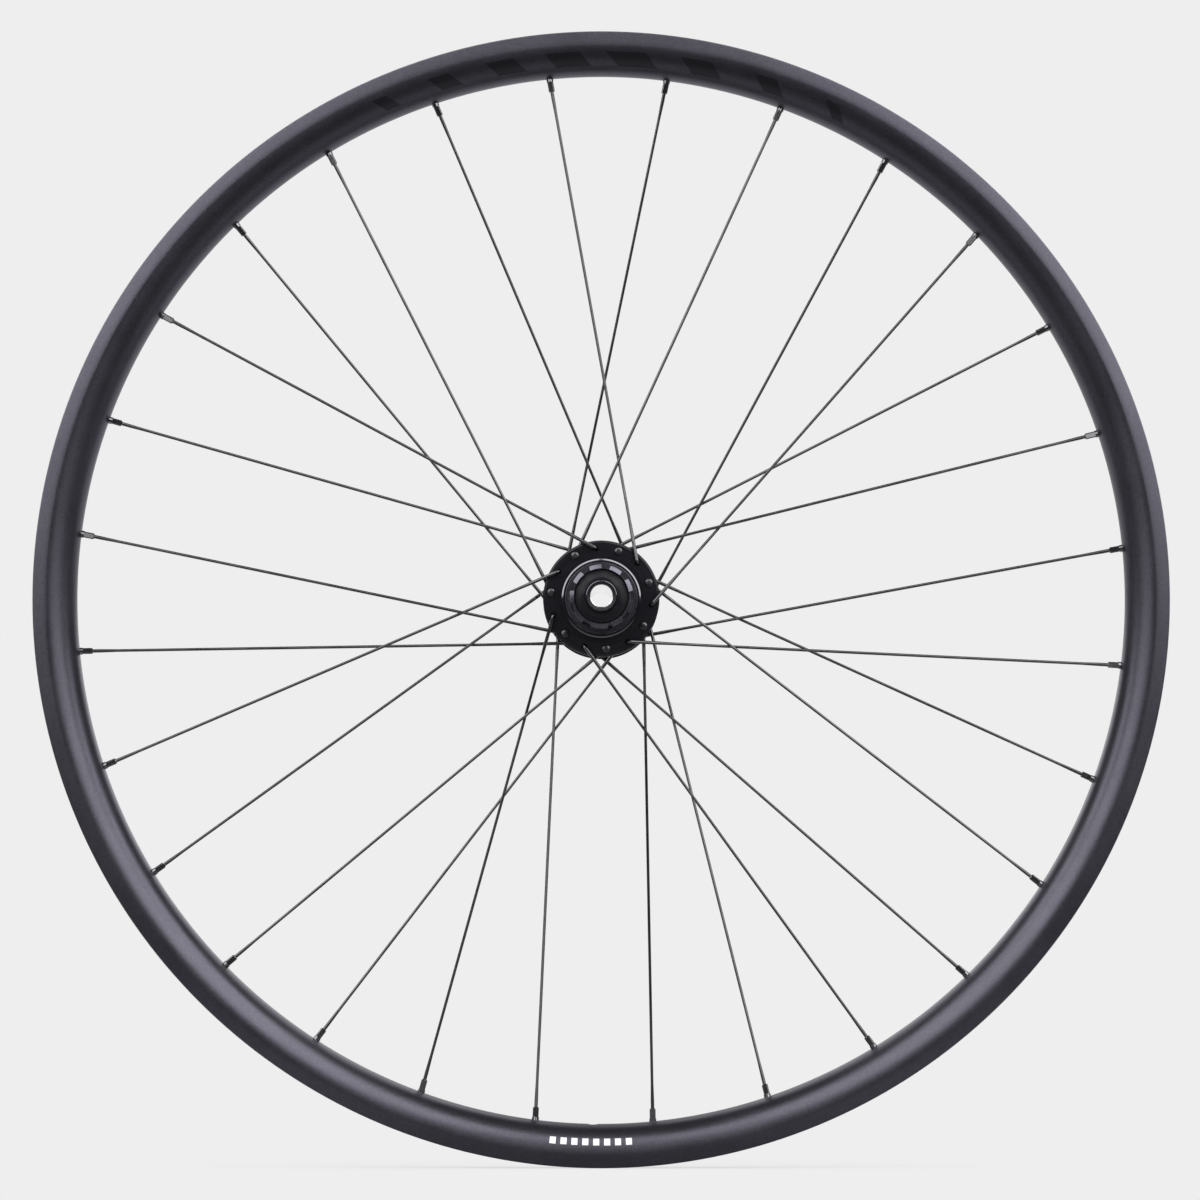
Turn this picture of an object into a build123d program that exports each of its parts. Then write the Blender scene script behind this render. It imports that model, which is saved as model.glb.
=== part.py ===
from build123d import *
import os
from math import acos, cos, pi, radians, sin, tan

# Rear bicycle wheel for a disc brake, without tyre, cassette or rotor. Sizes are in millimetres.
# The axle lies along Y, drive side towards -Y, with its middle at the origin. X points forward and Z up.
# Angles in the wheel plane run from X towards Z, as seen from the drive side.

# Rim
bead_seat_d = 622.0
rim_wall_height = 5.7
rim_depth = 24.5
rim_width = 31.0
crease_depth = 7.0
edge_inset = 0.8
edge_chamfer = 0.7
tyre_width = 25.0
shelf_width = 4.0
channel_depth = 4.2
channel_slope = 2.4
tyre_bed = 1.4
side_wall = 1.6
spoke_bed = 2.6
nipple_bed_width = 6.0
cavity_floor_width = 11.0
cheek_angle = 45.0
valve_d = 6.5
valve_angle = 269.1

# Lacing, in groups of four spokes: two to each flange, one leaning each way
spoke_groups = 7
crosses = 2
first_spoke_angle = 5.65
crossing_gap = 0.3

# Spokes
spoke_d = 2.0
spoke_thin_d = 1.5
butt_length = 22.0
taper_length = 10.0
spoke_head_d = 4.2
spoke_head_dome = 0.7
spoke_hole_d = 2.5
elbow_lift = 1.0
wire_sides = 8

# Nipples
nipple_d = 4.0
nipple_flats = 3.3
nipple_exposed = 7.2
nipple_collar = 1.4
nipple_head_d = 5.8
nipple_head_height = 2.2
nipple_seat_depth = 0.6
nipple_clearance = 0.15
access_clearance = 0.3
thread_depth = 1.0

# Hub shell
over_locknut = 142.0
drive_flange_depth = 53.0
disc_flange_depth = 37.0
flange_d = 64.0
spoke_hole_margin = 4.0
flange_thickness = 3.0
flange_bevel = 1.2
lip_wall = 1.8
lip_length = 8.6
lip_chamfer = 0.7
neck_d = 38.0
waist_d = 31.0
waist_length = 20.0
shell_bore_d = 25.0
rotor_face_depth = 18.8
rotor_boss_d = 54.0
rotor_boss_height = 8.0
rotor_register_d = 34.9
rotor_register_height = 2.5
rotor_circle_d = 44.0
rotor_bolt_d = 4.2
rotor_bolts = 6
rotor_scallop_d = 17.0

# Axle and end caps
axle_d = 15.0
axle_bore_d = 12.6
axle_collar_d = 17.2
thru_axle_d = 12.1
cap_tip_d = 17.0
cap_tip_length = 4.0
cap_boss_d = 18.0
cap_boss_length = 1.8
cap_skirt = 1.4
drive_dish_d = 29.4
dish_hollow = 0.4
disc_dish_d = 26.0
bore_chamfer = 0.7

# Bearings
hub_bearing_d = 28.0
hub_bearing_width = 7.0
hub_race_d = 20.4
hub_bearing_recess = 2.2
disc_seal_width = 1.0
freehub_bearing_d = 24.0
freehub_bearing_width = 5.0
freehub_race_d = 19.2
freehub_bearing_recess = 0.7
spacer_wall = 1.6

# Freehub
spline_d = 35.2
spline_root_d = 32.6
spline_length = 35.0
ridge_count = 9
ridge_angle = 22.0
ridge_start_angle = 21.5
key_ridge = 6
key_extra_angle = 9.0
lockring_bore_d = 30.6
lockring_depth = 6.1
spline_lead_in = 1.0
freehub_bore_d = 21.0
stop_flange_height = 3.4
stop_flange_thickness = 2.4
seal_space = 1.3
seal_width = 1.0
seal_height = 2.9

# Ratchet
drive_ring_width = 7.4
drive_ring_recess = 0.6
drive_ring_wall = 1.8
ratchet_teeth = 24
tooth_height = 1.4
tooth_gap = 0.4
carrier_d = 33.2
pawl_count = 3
pawl_start_angle = 90.0
pawl_width = 5.4
pawl_heel_d = 3.2
pawl_reach_angle = 22.0
pawl_swing = 15.0
pawl_toe_gap = 0.6
pawl_rest_gap = 0.9
pawl_tip_height = 2.0
pawl_groove_gap = 0.45
pocket_end_gap = 1.0
pawl_spring_wire = 0.7
pawl_spring_gap_angle = 20.0

# Clearances
slip_fit = 0.02
running_fit = 0.05
swing_gap = 0.3

# Rim radii
bead_seat_r = bead_seat_d / 2
rim_outer_r = bead_seat_r + rim_wall_height
rim_inner_r = rim_outer_r - rim_depth
crease_r = rim_outer_r - crease_depth
channel_r = bead_seat_r - channel_depth

# Lacing angles: flange holes lie a spoke's lead ahead of or behind its rim hole
spoke_count = 4 * spoke_groups
spoke_pitch = 360 / spoke_count
spoke_lead = crosses * 2 * spoke_pitch
spoke_circle_r = flange_d / 2 - spoke_hole_margin

# Places along the axle, from the drive side (-Y) to the disc side (+Y)
end_y = over_locknut / 2
drive_flange_y = drive_flange_depth - end_y
disc_flange_y = end_y - disc_flange_depth
lip_y = drive_flange_y - lip_length
ring_start_y = lip_y + drive_ring_recess
ring_end_y = ring_start_y + drive_ring_width
drive_bearing_y = ring_end_y + hub_bearing_recess
drive_shoulder_y = drive_bearing_y + hub_bearing_width
rotor_y = end_y - rotor_face_depth
shell_end_y = rotor_y + rotor_register_height
disc_bearing_end_y = shell_end_y - disc_seal_width - swing_gap
disc_shoulder_y = disc_bearing_end_y - hub_bearing_width
stop_back_y = lip_y - seal_space
stop_face_y = stop_back_y - stop_flange_thickness
freehub_end_y = stop_face_y - spline_length
carrier_end_y = ring_end_y - swing_gap
inner_bearing_end_y = carrier_end_y - freehub_bearing_recess
inner_bearing_y = inner_bearing_end_y - freehub_bearing_width
outer_bearing_y = freehub_end_y + lockring_depth
outer_bearing_end_y = outer_bearing_y + freehub_bearing_width
pawl_middle_y = (ring_start_y + ring_end_y) / 2

# The ratchet, from the pawls' carrier outwards
pawl_pivot_d = carrier_d - pawl_heel_d
tooth_tip_d = carrier_d + 2 * tooth_gap
tooth_root_d = tooth_tip_d + 2 * tooth_height
drive_ring_d = tooth_root_d + 2 * drive_ring_wall
lip_d = drive_ring_d + 2 * lip_wall
seal_d = carrier_d + 2 * seal_height
stop_flange_d = carrier_d + 2 * stop_flange_height

# The pawl spring lies flush in its groove round the carrier
pawl_spring_d = carrier_d - 2 * slip_fit
pawl_spring_inner_d = pawl_spring_d - 2 * pawl_spring_wire


def polar(radius, angle):
    """X and Z of a point in the wheel plane."""
    return radius * cos(radians(angle)), radius * sin(radians(angle))


def turned(*profile):
    """A solid turned about the axle, from the (radius, y) corners of its half section."""
    return revolve(make_face(Polyline(*profile, close=True)), Axis.Y)


def ring(outer_d, inner_d, y_from, y_to):
    """A plain ring or tube about the axle."""
    outer_r = outer_d / 2
    inner_r = inner_d / 2
    return turned((inner_r, y_from), (outer_r, y_from), (outer_r, y_to), (inner_r, y_to))


def prism(outline, y_from, y_to):
    """An outline drawn in the wheel plane, extruded along the axle."""
    return extrude(Plane.XZ.offset(-y_to) * outline, y_to - y_from)


def around(piece, angle):
    """A copy turned about the axle by an angle of the wheel plane."""
    return Rot(0, -angle, 0) * piece


def wire_section(plane, diameter, stretch=1.0):
    """The flat-sided section of a wire, nipple or their holes. Stretch lengthens it across a mitred bend."""
    radius = diameter / 2 / cos(pi / wire_sides)
    turns = [2 * pi * (side + 0.5) / wire_sides for side in range(wire_sides)]
    corners = [(radius * cos(turn), radius * sin(turn) * stretch) for turn in turns]
    return plane * Polygon(*corners, align=None)


def save(name, *pieces):
    """Write one piece, or a group of like pieces, as a node of that name."""
    solids = [solid for piece in pieces for solid in piece.solids()]
    export_step(solids[0] if len(solids) == 1 else Compound(solids), f"parts/{name}.step")


class Spoke:
    """One spoke with its rim hole at angle 0, and the nipple and holes that lie along it.

    side is -1 for the drive flange and 1 for the disc flange. lead is 1 where the flange hole lies ahead of
    the rim hole, -1 behind it. A spoke with its elbow outside runs over the flange's outer face.
    """

    def __init__(self, side, lead, elbow_outside):
        self.side = side
        flange_y = drive_flange_y if side < 0 else disc_flange_y
        self.exit = side if elbow_outside else -side
        self.seat_y = flange_y - self.exit * flange_thickness / 2
        x, z = polar(spoke_circle_r, lead * spoke_lead)
        self.hole = Vector(x, flange_y, z)
        elbow_y = flange_y + self.exit * (flange_thickness / 2 + elbow_lift + spoke_d / 2)
        self.elbow = Vector(x, elbow_y, z)
        self.rim_point = Vector(rim_inner_r, 0, 0)
        # Seen along the axle the spoke is straight, and meets its last crossing half way to the next spoke
        ray_x, ray_z = polar(1, lead * spoke_pitch)
        run_x = rim_inner_r - x
        share = (z * ray_x - x * ray_z) / (run_x * ray_z + z * ray_x)
        # Interlaced: the outside spoke ducks behind the inside one there
        crossing_y = flange_y * (1 - share)
        crossing_y -= self.exit * (spoke_thin_d + crossing_gap) / 2
        self.crossing = Vector(x + share * run_x, crossing_y, z * (1 - share))
        self.hub_run = (self.crossing - self.elbow).normalized()
        self.rim_run = (self.rim_point - self.crossing).normalized()
        self.across = self.rim_run.cross(Vector(0, 1, 0)).normalized()
        self.wire = self.make_wire()
        self.nipple = self.make_nipple()
        self.rim_hole = self.make_rim_hole()
        self.flange_hole = self.make_flange_hole()

    def plane(self, point, along):
        """The plane across the wire at a point, turned the same way along the whole spoke."""
        return Plane(origin=point, x_dir=self.across, z_dir=along)

    def bend(self, point, before, after, diameter):
        """The mitred section where the wire turns from one direction to the next."""
        middle = (before + after).normalized()
        return wire_section(self.plane(point, middle), diameter, 1 / before.dot(middle))

    def along_rim(self, distance):
        """A point on the nipple's line, measured outwards from the rim's inner face."""
        return self.rim_point + self.rim_run * distance

    def rim_prism(self, diameter, start, end):
        """A straight length of the wire's section on the nipple's line."""
        section = wire_section(self.plane(self.along_rim(start), self.rim_run), diameter)
        return extrude(section, end - start, dir=self.rim_run)

    def make_wire(self):
        """The spoke itself: head, elbow, butted wire with a kink at the crossing, threaded end."""
        stub = Vector(0, self.exit, 0)
        seat = Vector(self.hole.X, self.seat_y, self.hole.Z)
        head_edge = seat - stub * ((spoke_head_d - spoke_hole_d) / 2 + slip_fit)
        head_top = head_edge - stub * spoke_head_dome
        neck = seat + stub * ((spoke_hole_d - spoke_d) / 2 - slip_fit)
        elbow_turn = acos(stub.dot(self.hub_run))
        tangent = elbow_lift + spoke_d / 2
        elbow_r = tangent / tan(elbow_turn / 2)
        bend_start = self.elbow - stub * tangent
        bend_end = self.elbow + self.hub_run * tangent
        inward = (self.hub_run - stub).normalized()
        bend_middle = self.elbow + inward * elbow_r * (1 / cos(elbow_turn / 2) - 1)
        first_chord = (bend_middle - bend_start).normalized()
        second_chord = (bend_end - bend_middle).normalized()
        butt_end = self.elbow + self.hub_run * butt_length
        thin_start = butt_end + self.hub_run * taper_length
        thread_butt = self.along_rim(-nipple_exposed - butt_length)
        thin_end = thread_butt - self.rim_run * taper_length
        thread_end = self.along_rim(self.seat_distance() + thread_depth)
        elbow_section = self.bend(bend_middle, first_chord, second_chord, spoke_d)
        hook = [
            wire_section(self.plane(head_top, stub), spoke_head_d - 2 * spoke_head_dome),
            wire_section(self.plane(head_edge, stub), spoke_head_d),
            wire_section(self.plane(neck, stub), spoke_d),
            self.bend(bend_start, stub, first_chord, spoke_d),
            elbow_section,
        ]
        shank = [
            elbow_section,
            self.bend(bend_end, second_chord, self.hub_run, spoke_d),
            wire_section(self.plane(butt_end, self.hub_run), spoke_d),
            wire_section(self.plane(thin_start, self.hub_run), spoke_thin_d),
            self.bend(self.crossing, self.hub_run, self.rim_run, spoke_thin_d),
            wire_section(self.plane(thin_end, self.rim_run), spoke_thin_d),
            wire_section(self.plane(thread_butt, self.rim_run), spoke_d),
            wire_section(self.plane(thread_end, self.rim_run), spoke_d),
        ]
        return loft(hook, ruled=True) + loft(shank, ruled=True)

    def seat_distance(self):
        """How far the nipple's seat lies outside the rim's inner face."""
        return spoke_bed - nipple_seat_depth

    def make_nipple(self):
        """Nipple: square drive, round collar through the rim, head inside it, and the threaded bore."""
        seat = self.seat_distance()
        barrel = self.rim_prism(nipple_d, -nipple_exposed, seat)
        head = self.rim_prism(nipple_head_d, seat, seat + nipple_head_height)
        bore = self.rim_prism(spoke_d + 2 * slip_fit, -nipple_exposed, seat + nipple_head_height)
        drive_plane = self.plane(self.along_rim(-nipple_exposed), self.rim_run)
        drive_length = nipple_exposed - nipple_collar
        square = Rectangle(nipple_flats, nipple_flats)
        drive = extrude(drive_plane * (Circle(nipple_d) - square), drive_length, dir=self.rim_run)
        return barrel + head - bore - drive

    def make_rim_hole(self):
        """What the rim loses here: the nipple's hole, its seat and the access hole through the tyre bed."""
        seat = self.seat_distance()
        hole = self.rim_prism(nipple_d + 2 * nipple_clearance, -nipple_seat_depth, seat)
        access_d = nipple_head_d + 2 * access_clearance
        return hole + self.rim_prism(access_d, seat, rim_depth)

    def make_flange_hole(self):
        """What the flange loses here: the hole for the spoke's stub."""
        stub = Vector(0, self.exit, 0)
        start = Vector(self.hole.X, self.seat_y, self.hole.Z)
        section = wire_section(self.plane(start, stub), spoke_hole_d)
        return extrude(section, flange_thickness, dir=stub)


def build_rim(lacing):
    """Hollow tubeless rim: nipple bed, round cheeks, creased side walls, tyre shelves and centre channel."""
    half_width = rim_width / 2
    edge_half = half_width - edge_inset
    tyre_half = tyre_width / 2
    channel_half = tyre_half - shelf_width
    bed_half = nipple_bed_width / 2
    bed_edge = (rim_inner_r, bed_half)
    crease = (crease_r, half_width)
    bed = Line((rim_inner_r, -bed_half), bed_edge)
    cheek = TangentArc(crease, bed_edge, tangent=(-1, 0))
    walls = Polyline(
        crease,
        (rim_outer_r - edge_chamfer, edge_half),
        (rim_outer_r, edge_half - edge_chamfer),
        (rim_outer_r, tyre_half),
        (bead_seat_r, tyre_half),
        (bead_seat_r, channel_half),
        (channel_r, channel_half - channel_slope),
        (channel_r, channel_slope - channel_half),
        (bead_seat_r, -channel_half),
        (bead_seat_r, -tyre_half),
        (rim_outer_r, -tyre_half),
        (rim_outer_r, edge_chamfer - edge_half),
        (rim_outer_r - edge_chamfer, -edge_half),
        (crease_r, -half_width),
    )
    floor_r = rim_inner_r + spoke_bed
    roof_r = channel_r - tyre_bed
    floor_half = cavity_floor_width / 2
    # The cavity's roof steps up under the shelves, beside the centre channel
    shoulder_r = bead_seat_r - tyre_bed
    shoulder_half = tyre_half - side_wall / 2
    roof_half = channel_half - channel_slope
    # Its lower corners lie one side wall in from the cheeks, which leave the creases square to the axle
    cheek_drop = half_width - bed_half
    cheek_r = ((crease_r - rim_inner_r) ** 2 + cheek_drop**2) / (2 * cheek_drop)
    corner_out, corner_rise = polar(cheek_r - side_wall, cheek_angle)
    corner_r = crease_r - corner_rise
    corner_half = half_width - cheek_r + corner_out
    cavity = Polyline(
        (floor_r, -floor_half),
        (corner_r, -corner_half),
        (shoulder_r, -shoulder_half),
        (roof_r, -roof_half),
        (roof_r, roof_half),
        (shoulder_r, shoulder_half),
        (corner_r, corner_half),
        (floor_r, floor_half),
        close=True,
    )
    section = make_face([bed, cheek, mirror(cheek, Plane.XZ), *walls.edges()]) - make_face(cavity)
    valve_x, valve_z = polar(1, valve_angle)
    valve_plane = Plane(origin=(0, 0, 0), x_dir=(0, 1, 0), z_dir=(valve_x, 0, valve_z))
    valve_hole = extrude(valve_plane.offset(rim_inner_r - spoke_bed) * Circle(valve_d / 2), rim_depth)
    spoke_holes = [around(spoke.rim_hole, angle) for spoke, angle in lacing]
    return revolve(section, Axis.Y) - spoke_holes - valve_hole


def build_hub_shell(lacing):
    """One-piece hub shell: ratchet housing, two spoke flanges, waist, rotor mount and bearing seats."""
    flange_r = flange_d / 2
    bevel_y = flange_bevel / 2
    half = flange_thickness / 2
    drive_out = drive_flange_y - half
    drive_in = drive_flange_y + half
    disc_in = disc_flange_y - half
    disc_out = disc_flange_y + half
    waist_y = (drive_in + disc_in - waist_length) / 2
    seat_r = hub_bearing_d / 2 + slip_fit
    ring_seat_r = drive_ring_d / 2 + slip_fit
    shell = turned(
        (lip_d / 2 - lip_chamfer, lip_y),
        (lip_d / 2, lip_y + lip_chamfer),
        (lip_d / 2, drive_out),
        (flange_r - flange_bevel, drive_out),
        (flange_r, drive_out + bevel_y),
        (flange_r, drive_in),
        (neck_d / 2, drive_in),
        (waist_d / 2, waist_y),
        (waist_d / 2, waist_y + waist_length),
        (neck_d / 2, disc_in),
        (flange_r, disc_in),
        (flange_r, disc_out - bevel_y),
        (flange_r - flange_bevel, disc_out),
        (neck_d / 2, disc_out),
        (neck_d / 2, rotor_y - rotor_boss_height),
        (rotor_boss_d / 2, rotor_y - rotor_boss_height),
        (rotor_boss_d / 2, rotor_y),
        (rotor_register_d / 2, rotor_y),
        (rotor_register_d / 2, shell_end_y),
        (seat_r, shell_end_y),
        (seat_r, disc_shoulder_y),
        (shell_bore_d / 2, disc_shoulder_y),
        (shell_bore_d / 2, drive_shoulder_y),
        (seat_r, drive_shoulder_y),
        (seat_r, ring_end_y),
        (ring_seat_r, ring_end_y),
        (ring_seat_r, lip_y),
    )
    bolt_step = 360 / rotor_bolts
    boss_y = rotor_y - rotor_boss_height
    bolt = prism(Circle(rotor_bolt_d / 2), boss_y, rotor_y)
    bolt_reach = Vector(rotor_circle_d / 2, 0, 0)
    bolts = [around(Pos(bolt_reach) * bolt, step * bolt_step) for step in range(rotor_bolts)]
    # The boss is scalloped between the bolts
    scallop = prism(Circle(rotor_scallop_d / 2), boss_y, rotor_y)
    scallop_reach = Vector(rotor_boss_d / 2 + rotor_bolt_d / 2, 0, 0)
    scallops = [around(Pos(scallop_reach) * scallop, (step + 0.5) * bolt_step) for step in range(rotor_bolts)]
    spoke_holes = [around(spoke.flange_hole, angle) for spoke, angle in lacing]
    return shell - bolts - scallops - spoke_holes


def build_drive_ring():
    """Ratchet ring: saw teeth that the pawls push clockwise, as seen from the drive side."""
    pitch = 360 / ratchet_teeth
    # The pawls rest just short of a tooth's steep face
    steep_angle = pawl_start_angle - pawl_reach_angle - tip_clearance_angle()
    teeth = []
    for tooth in range(ratchet_teeth):
        angle = steep_angle + tooth * pitch
        teeth.append(polar(tooth_tip_d / 2, angle))
        teeth.append(polar(tooth_root_d / 2, angle))
    outline = Circle(drive_ring_d / 2) - make_face(Polyline(*teeth, close=True))
    return prism(outline, ring_start_y, ring_end_y)


def tip_clearance_angle():
    """The angle by which a resting pawl stays short of the tooth that it will push."""
    return 360 * pawl_rest_gap / (pi * tooth_root_d)


def pawl_outline():
    """Pawl seen along the axle, at the top of its carrier: round heel, arm and square tip."""
    pivot_r = pawl_pivot_d / 2
    heel_r = pawl_heel_d / 2
    tip_angle = 90 - pawl_reach_angle
    toe_r = tooth_root_d / 2 - pawl_toe_gap
    toe = polar(toe_r, tip_angle)
    sole = polar(toe_r - pawl_tip_height, tip_angle)
    arm = make_face(Polyline((0, pivot_r + heel_r), toe, sole, (0, pivot_r - heel_r), close=True))
    return arm + Pos(0, pivot_r) * Circle(heel_r)


def build_pawl():
    """One pawl at the top of the carrier, with the groove along it that clears the spring at full swing."""
    half = pawl_width / 2
    pawl = prism(pawl_outline(), pawl_middle_y - half, pawl_middle_y + half)
    groove_half = pawl_spring_wire / 2 + swing_gap
    groove_d = pawl_spring_inner_d - 2 * pawl_groove_gap
    return pawl - ring(tooth_root_d, groove_d, pawl_middle_y - groove_half, pawl_middle_y + groove_half)


def pawl_pocket():
    """Room in the carrier for a pawl: a socket for its heel and a trough for its arm at full swing."""
    pivot_r = pawl_pivot_d / 2
    heel_r = pawl_heel_d / 2
    reach_x, _ = polar(tooth_root_d / 2, 90 - pawl_reach_angle)
    floor_z = pivot_r - heel_r
    roof_z = carrier_d / 2 + swing_gap
    end_x = reach_x + pocket_end_gap
    # The pawl's underside rises towards its tip at rest, so half its swing is slope enough for the floor
    end_z = floor_z - end_x * tan(radians(pawl_swing / 2))
    trough = make_face(Polyline((0, roof_z), (end_x, roof_z), (end_x, end_z), (0, floor_z), close=True))
    socket = Pos(0, pivot_r) * Circle(heel_r + running_fit)
    half = pawl_width / 2 + running_fit
    return prism(trough + socket, pawl_middle_y - half, pawl_middle_y + half)


def build_pawl_spring():
    """Split ring of flat wire round the carrier, which pulls the pawls' heels in and their tips out."""
    half = pawl_spring_wire / 2
    band = ring(pawl_spring_d, pawl_spring_inner_d, pawl_middle_y - half, pawl_middle_y + half)
    gap_width = carrier_d * pi * pawl_spring_gap_angle / 360
    gap = Pos(0, pawl_middle_y, carrier_d / 2) * Box(gap_width, pawl_spring_wire * 2, carrier_d / 2)
    return band - around(gap, pawl_start_angle - 90 + 180 / pawl_count)


def build_freehub_body():
    """Freehub body: nine-spline barrel with a lockring mouth, stop flange, and the pawl carrier behind it."""
    ridge_step = 360 / ridge_count
    far = spline_d
    wedges = []
    for ridge in range(ridge_count):
        middle = ridge_start_angle + ridge * ridge_step
        start = middle - ridge_angle / 2
        end = middle + ridge_angle / 2
        if ridge == key_ridge:
            end += key_extra_angle
        wedges.append(make_face(Polyline((0, 0), polar(far, start), polar(far, end), close=True)))
    ridges = Circle(spline_d / 2) & Sketch() + wedges
    barrel = prism(Circle(spline_root_d / 2) + ridges, freehub_end_y, stop_face_y)
    core = turned(
        (0, stop_face_y),
        (stop_flange_d / 2, stop_face_y),
        (stop_flange_d / 2, stop_back_y),
        (carrier_d / 2, stop_back_y),
        (carrier_d / 2, carrier_end_y),
        (0, carrier_end_y),
    )
    seat_r = freehub_bearing_d / 2 + slip_fit
    bore = turned(
        (0, freehub_end_y),
        (lockring_bore_d / 2, freehub_end_y),
        (lockring_bore_d / 2, outer_bearing_y),
        (seat_r, outer_bearing_y),
        (seat_r, outer_bearing_end_y),
        (freehub_bore_d / 2, outer_bearing_end_y),
        (freehub_bore_d / 2, inner_bearing_y),
        (seat_r, inner_bearing_y),
        (seat_r, carrier_end_y),
        (0, carrier_end_y),
    )
    # The splines' ends slant, so that sprockets slide on
    lead_in = turned(
        (lockring_bore_d / 2, freehub_end_y),
        (spline_d / 2, freehub_end_y),
        (spline_d / 2, freehub_end_y + spline_lead_in),
    )
    groove_half = pawl_spring_wire / 2 + slip_fit
    groove_d = pawl_spring_inner_d - 2 * slip_fit
    groove = ring(carrier_d + swing_gap, groove_d, pawl_middle_y - groove_half, pawl_middle_y + groove_half)
    pockets = [around(pawl_pocket(), angle - 90) for angle in pawl_angles()]
    return barrel + core - bore - lead_in - groove - pockets


def pawl_angles():
    """Where the pawls' heels sit round the carrier."""
    return [pawl_start_angle + pawl * 360 / pawl_count for pawl in range(pawl_count)]


def build_axle():
    """Axle tube with a collar that keeps the two hub bearings apart."""
    tube_end_y = end_y - cap_tip_length
    return turned(
        (axle_bore_d / 2, -tube_end_y),
        (axle_d / 2, -tube_end_y),
        (axle_d / 2, drive_shoulder_y),
        (axle_collar_d / 2, drive_shoulder_y),
        (axle_collar_d / 2, disc_shoulder_y),
        (axle_d / 2, disc_shoulder_y),
        (axle_d / 2, tube_end_y),
        (axle_bore_d / 2, tube_end_y),
    )


def build_end_cap(bearing_y, dish_d):
    """End cap, as on the disc side: a boss on the bearing's inner ring, a hollow dust dish and a tip ring."""
    tip_y = end_y - cap_tip_length
    skirt_y = bearing_y + cap_boss_length
    dish_y = skirt_y + cap_skirt
    socket_r = axle_d / 2 + slip_fit
    tip_r = cap_tip_d / 2
    dish_r = dish_d / 2
    # The dish is two cones that sag from its chord towards the corner of skirt and tip
    hollow_share = (1 - dish_hollow) / 2
    hollow = (tip_r + (dish_r - tip_r) * hollow_share, dish_y + (tip_y - dish_y) * hollow_share)
    return turned(
        hollow,
        (tip_r, tip_y),
        (tip_r, end_y),
        (thru_axle_d / 2 + bore_chamfer, end_y),
        (thru_axle_d / 2, end_y - bore_chamfer),
        (thru_axle_d / 2, tip_y),
        (socket_r, tip_y),
        (socket_r, bearing_y),
        (cap_boss_d / 2, bearing_y),
        (cap_boss_d / 2, skirt_y),
        (dish_r, skirt_y),
        (dish_r, dish_y),
    )


def lace():
    """Each spoke and its rim angle, in order round the rim: disc, drive, disc, drive in every group."""
    disc_trailing = Spoke(side=1, lead=-1, elbow_outside=True)
    drive_leading = Spoke(side=-1, lead=1, elbow_outside=False)
    disc_leading = Spoke(side=1, lead=1, elbow_outside=False)
    drive_trailing = Spoke(side=-1, lead=-1, elbow_outside=True)
    group = [disc_trailing, drive_leading, disc_leading, drive_trailing]
    return [(group[place % 4], first_spoke_angle + place * spoke_pitch) for place in range(spoke_count)]


def save_wheel():
    """Rim, spokes, nipples, hub shell and what turns with them."""
    lacing = lace()
    save("rim", build_rim(lacing))
    save("hub_shell", build_hub_shell(lacing))
    for side_name, side in (("drive", -1), ("disc", 1)):
        side_lacing = [(spoke, angle) for spoke, angle in lacing if spoke.side == side]
        for number, (spoke, angle) in enumerate(side_lacing, start=1):
            save(f"{side_name}_spoke_{number:02d}", around(spoke.wire, angle))
        save(f"{side_name}_nipples", *[around(spoke.nipple, angle) for spoke, angle in side_lacing])
    save("drive_ring", build_drive_ring())
    race_d = hub_race_d + 2 * running_fit
    save(
        "hub_bearing_outer_rings",
        ring(hub_bearing_d, race_d, drive_bearing_y, drive_shoulder_y),
        ring(hub_bearing_d, race_d, disc_shoulder_y, disc_bearing_end_y),
    )
    seal_inner_d = cap_boss_d + 2 * swing_gap
    save("disc_seal", ring(hub_bearing_d, seal_inner_d, shell_end_y - disc_seal_width, shell_end_y))


def save_axle():
    """Axle, end caps, inner bearing rings and the spacers between them."""
    bore_d = axle_d + 2 * slip_fit
    spacer_d = bore_d + 2 * spacer_wall
    save("axle", build_axle())
    save("end_cap_disc", build_end_cap(disc_bearing_end_y, disc_dish_d))
    save("end_cap_drive", mirror(build_end_cap(-outer_bearing_y, drive_dish_d), Plane.XZ))
    save(
        "hub_bearing_inner_rings",
        ring(hub_race_d, bore_d, drive_bearing_y, drive_shoulder_y),
        ring(hub_race_d, bore_d, disc_shoulder_y, disc_bearing_end_y),
    )
    save(
        "freehub_bearing_inner_rings",
        ring(freehub_race_d, bore_d, outer_bearing_y, outer_bearing_end_y),
        ring(freehub_race_d, bore_d, inner_bearing_y, inner_bearing_end_y),
    )
    save("freehub_spacer", ring(spacer_d, bore_d, outer_bearing_end_y, inner_bearing_y))
    save("hub_spacer", ring(spacer_d, bore_d, inner_bearing_end_y, drive_bearing_y))


def save_freehub():
    """Freehub body, its outer bearing rings, seal, pawls and their spring."""
    race_d = freehub_race_d + 2 * running_fit
    save("freehub_body", build_freehub_body())
    save(
        "freehub_bearing_outer_rings",
        ring(freehub_bearing_d, race_d, outer_bearing_y, outer_bearing_end_y),
        ring(freehub_bearing_d, race_d, inner_bearing_y, inner_bearing_end_y),
    )
    save("freehub_seal", ring(seal_d, carrier_d + 2 * slip_fit, stop_back_y, stop_back_y + seal_width))
    pawl = build_pawl()
    for number, angle in enumerate(pawl_angles(), start=1):
        save(f"pawl_{number}", around(pawl, angle - 90))
    save("pawl_spring", build_pawl_spring())


os.makedirs("parts", exist_ok=True)
save_wheel()
save_axle()
save_freehub()
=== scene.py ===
"""Looks of a rear bicycle wheel for a disc brake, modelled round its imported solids.

The axle lies along Y with the drive side towards -Y, X points forward and Z up, as in the solids. Blender works in
metres, so sizes are written in millimetres and multiplied by MM. Angles are in degrees, and those of the wheel plane
run from X towards Z.
"""

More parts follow.
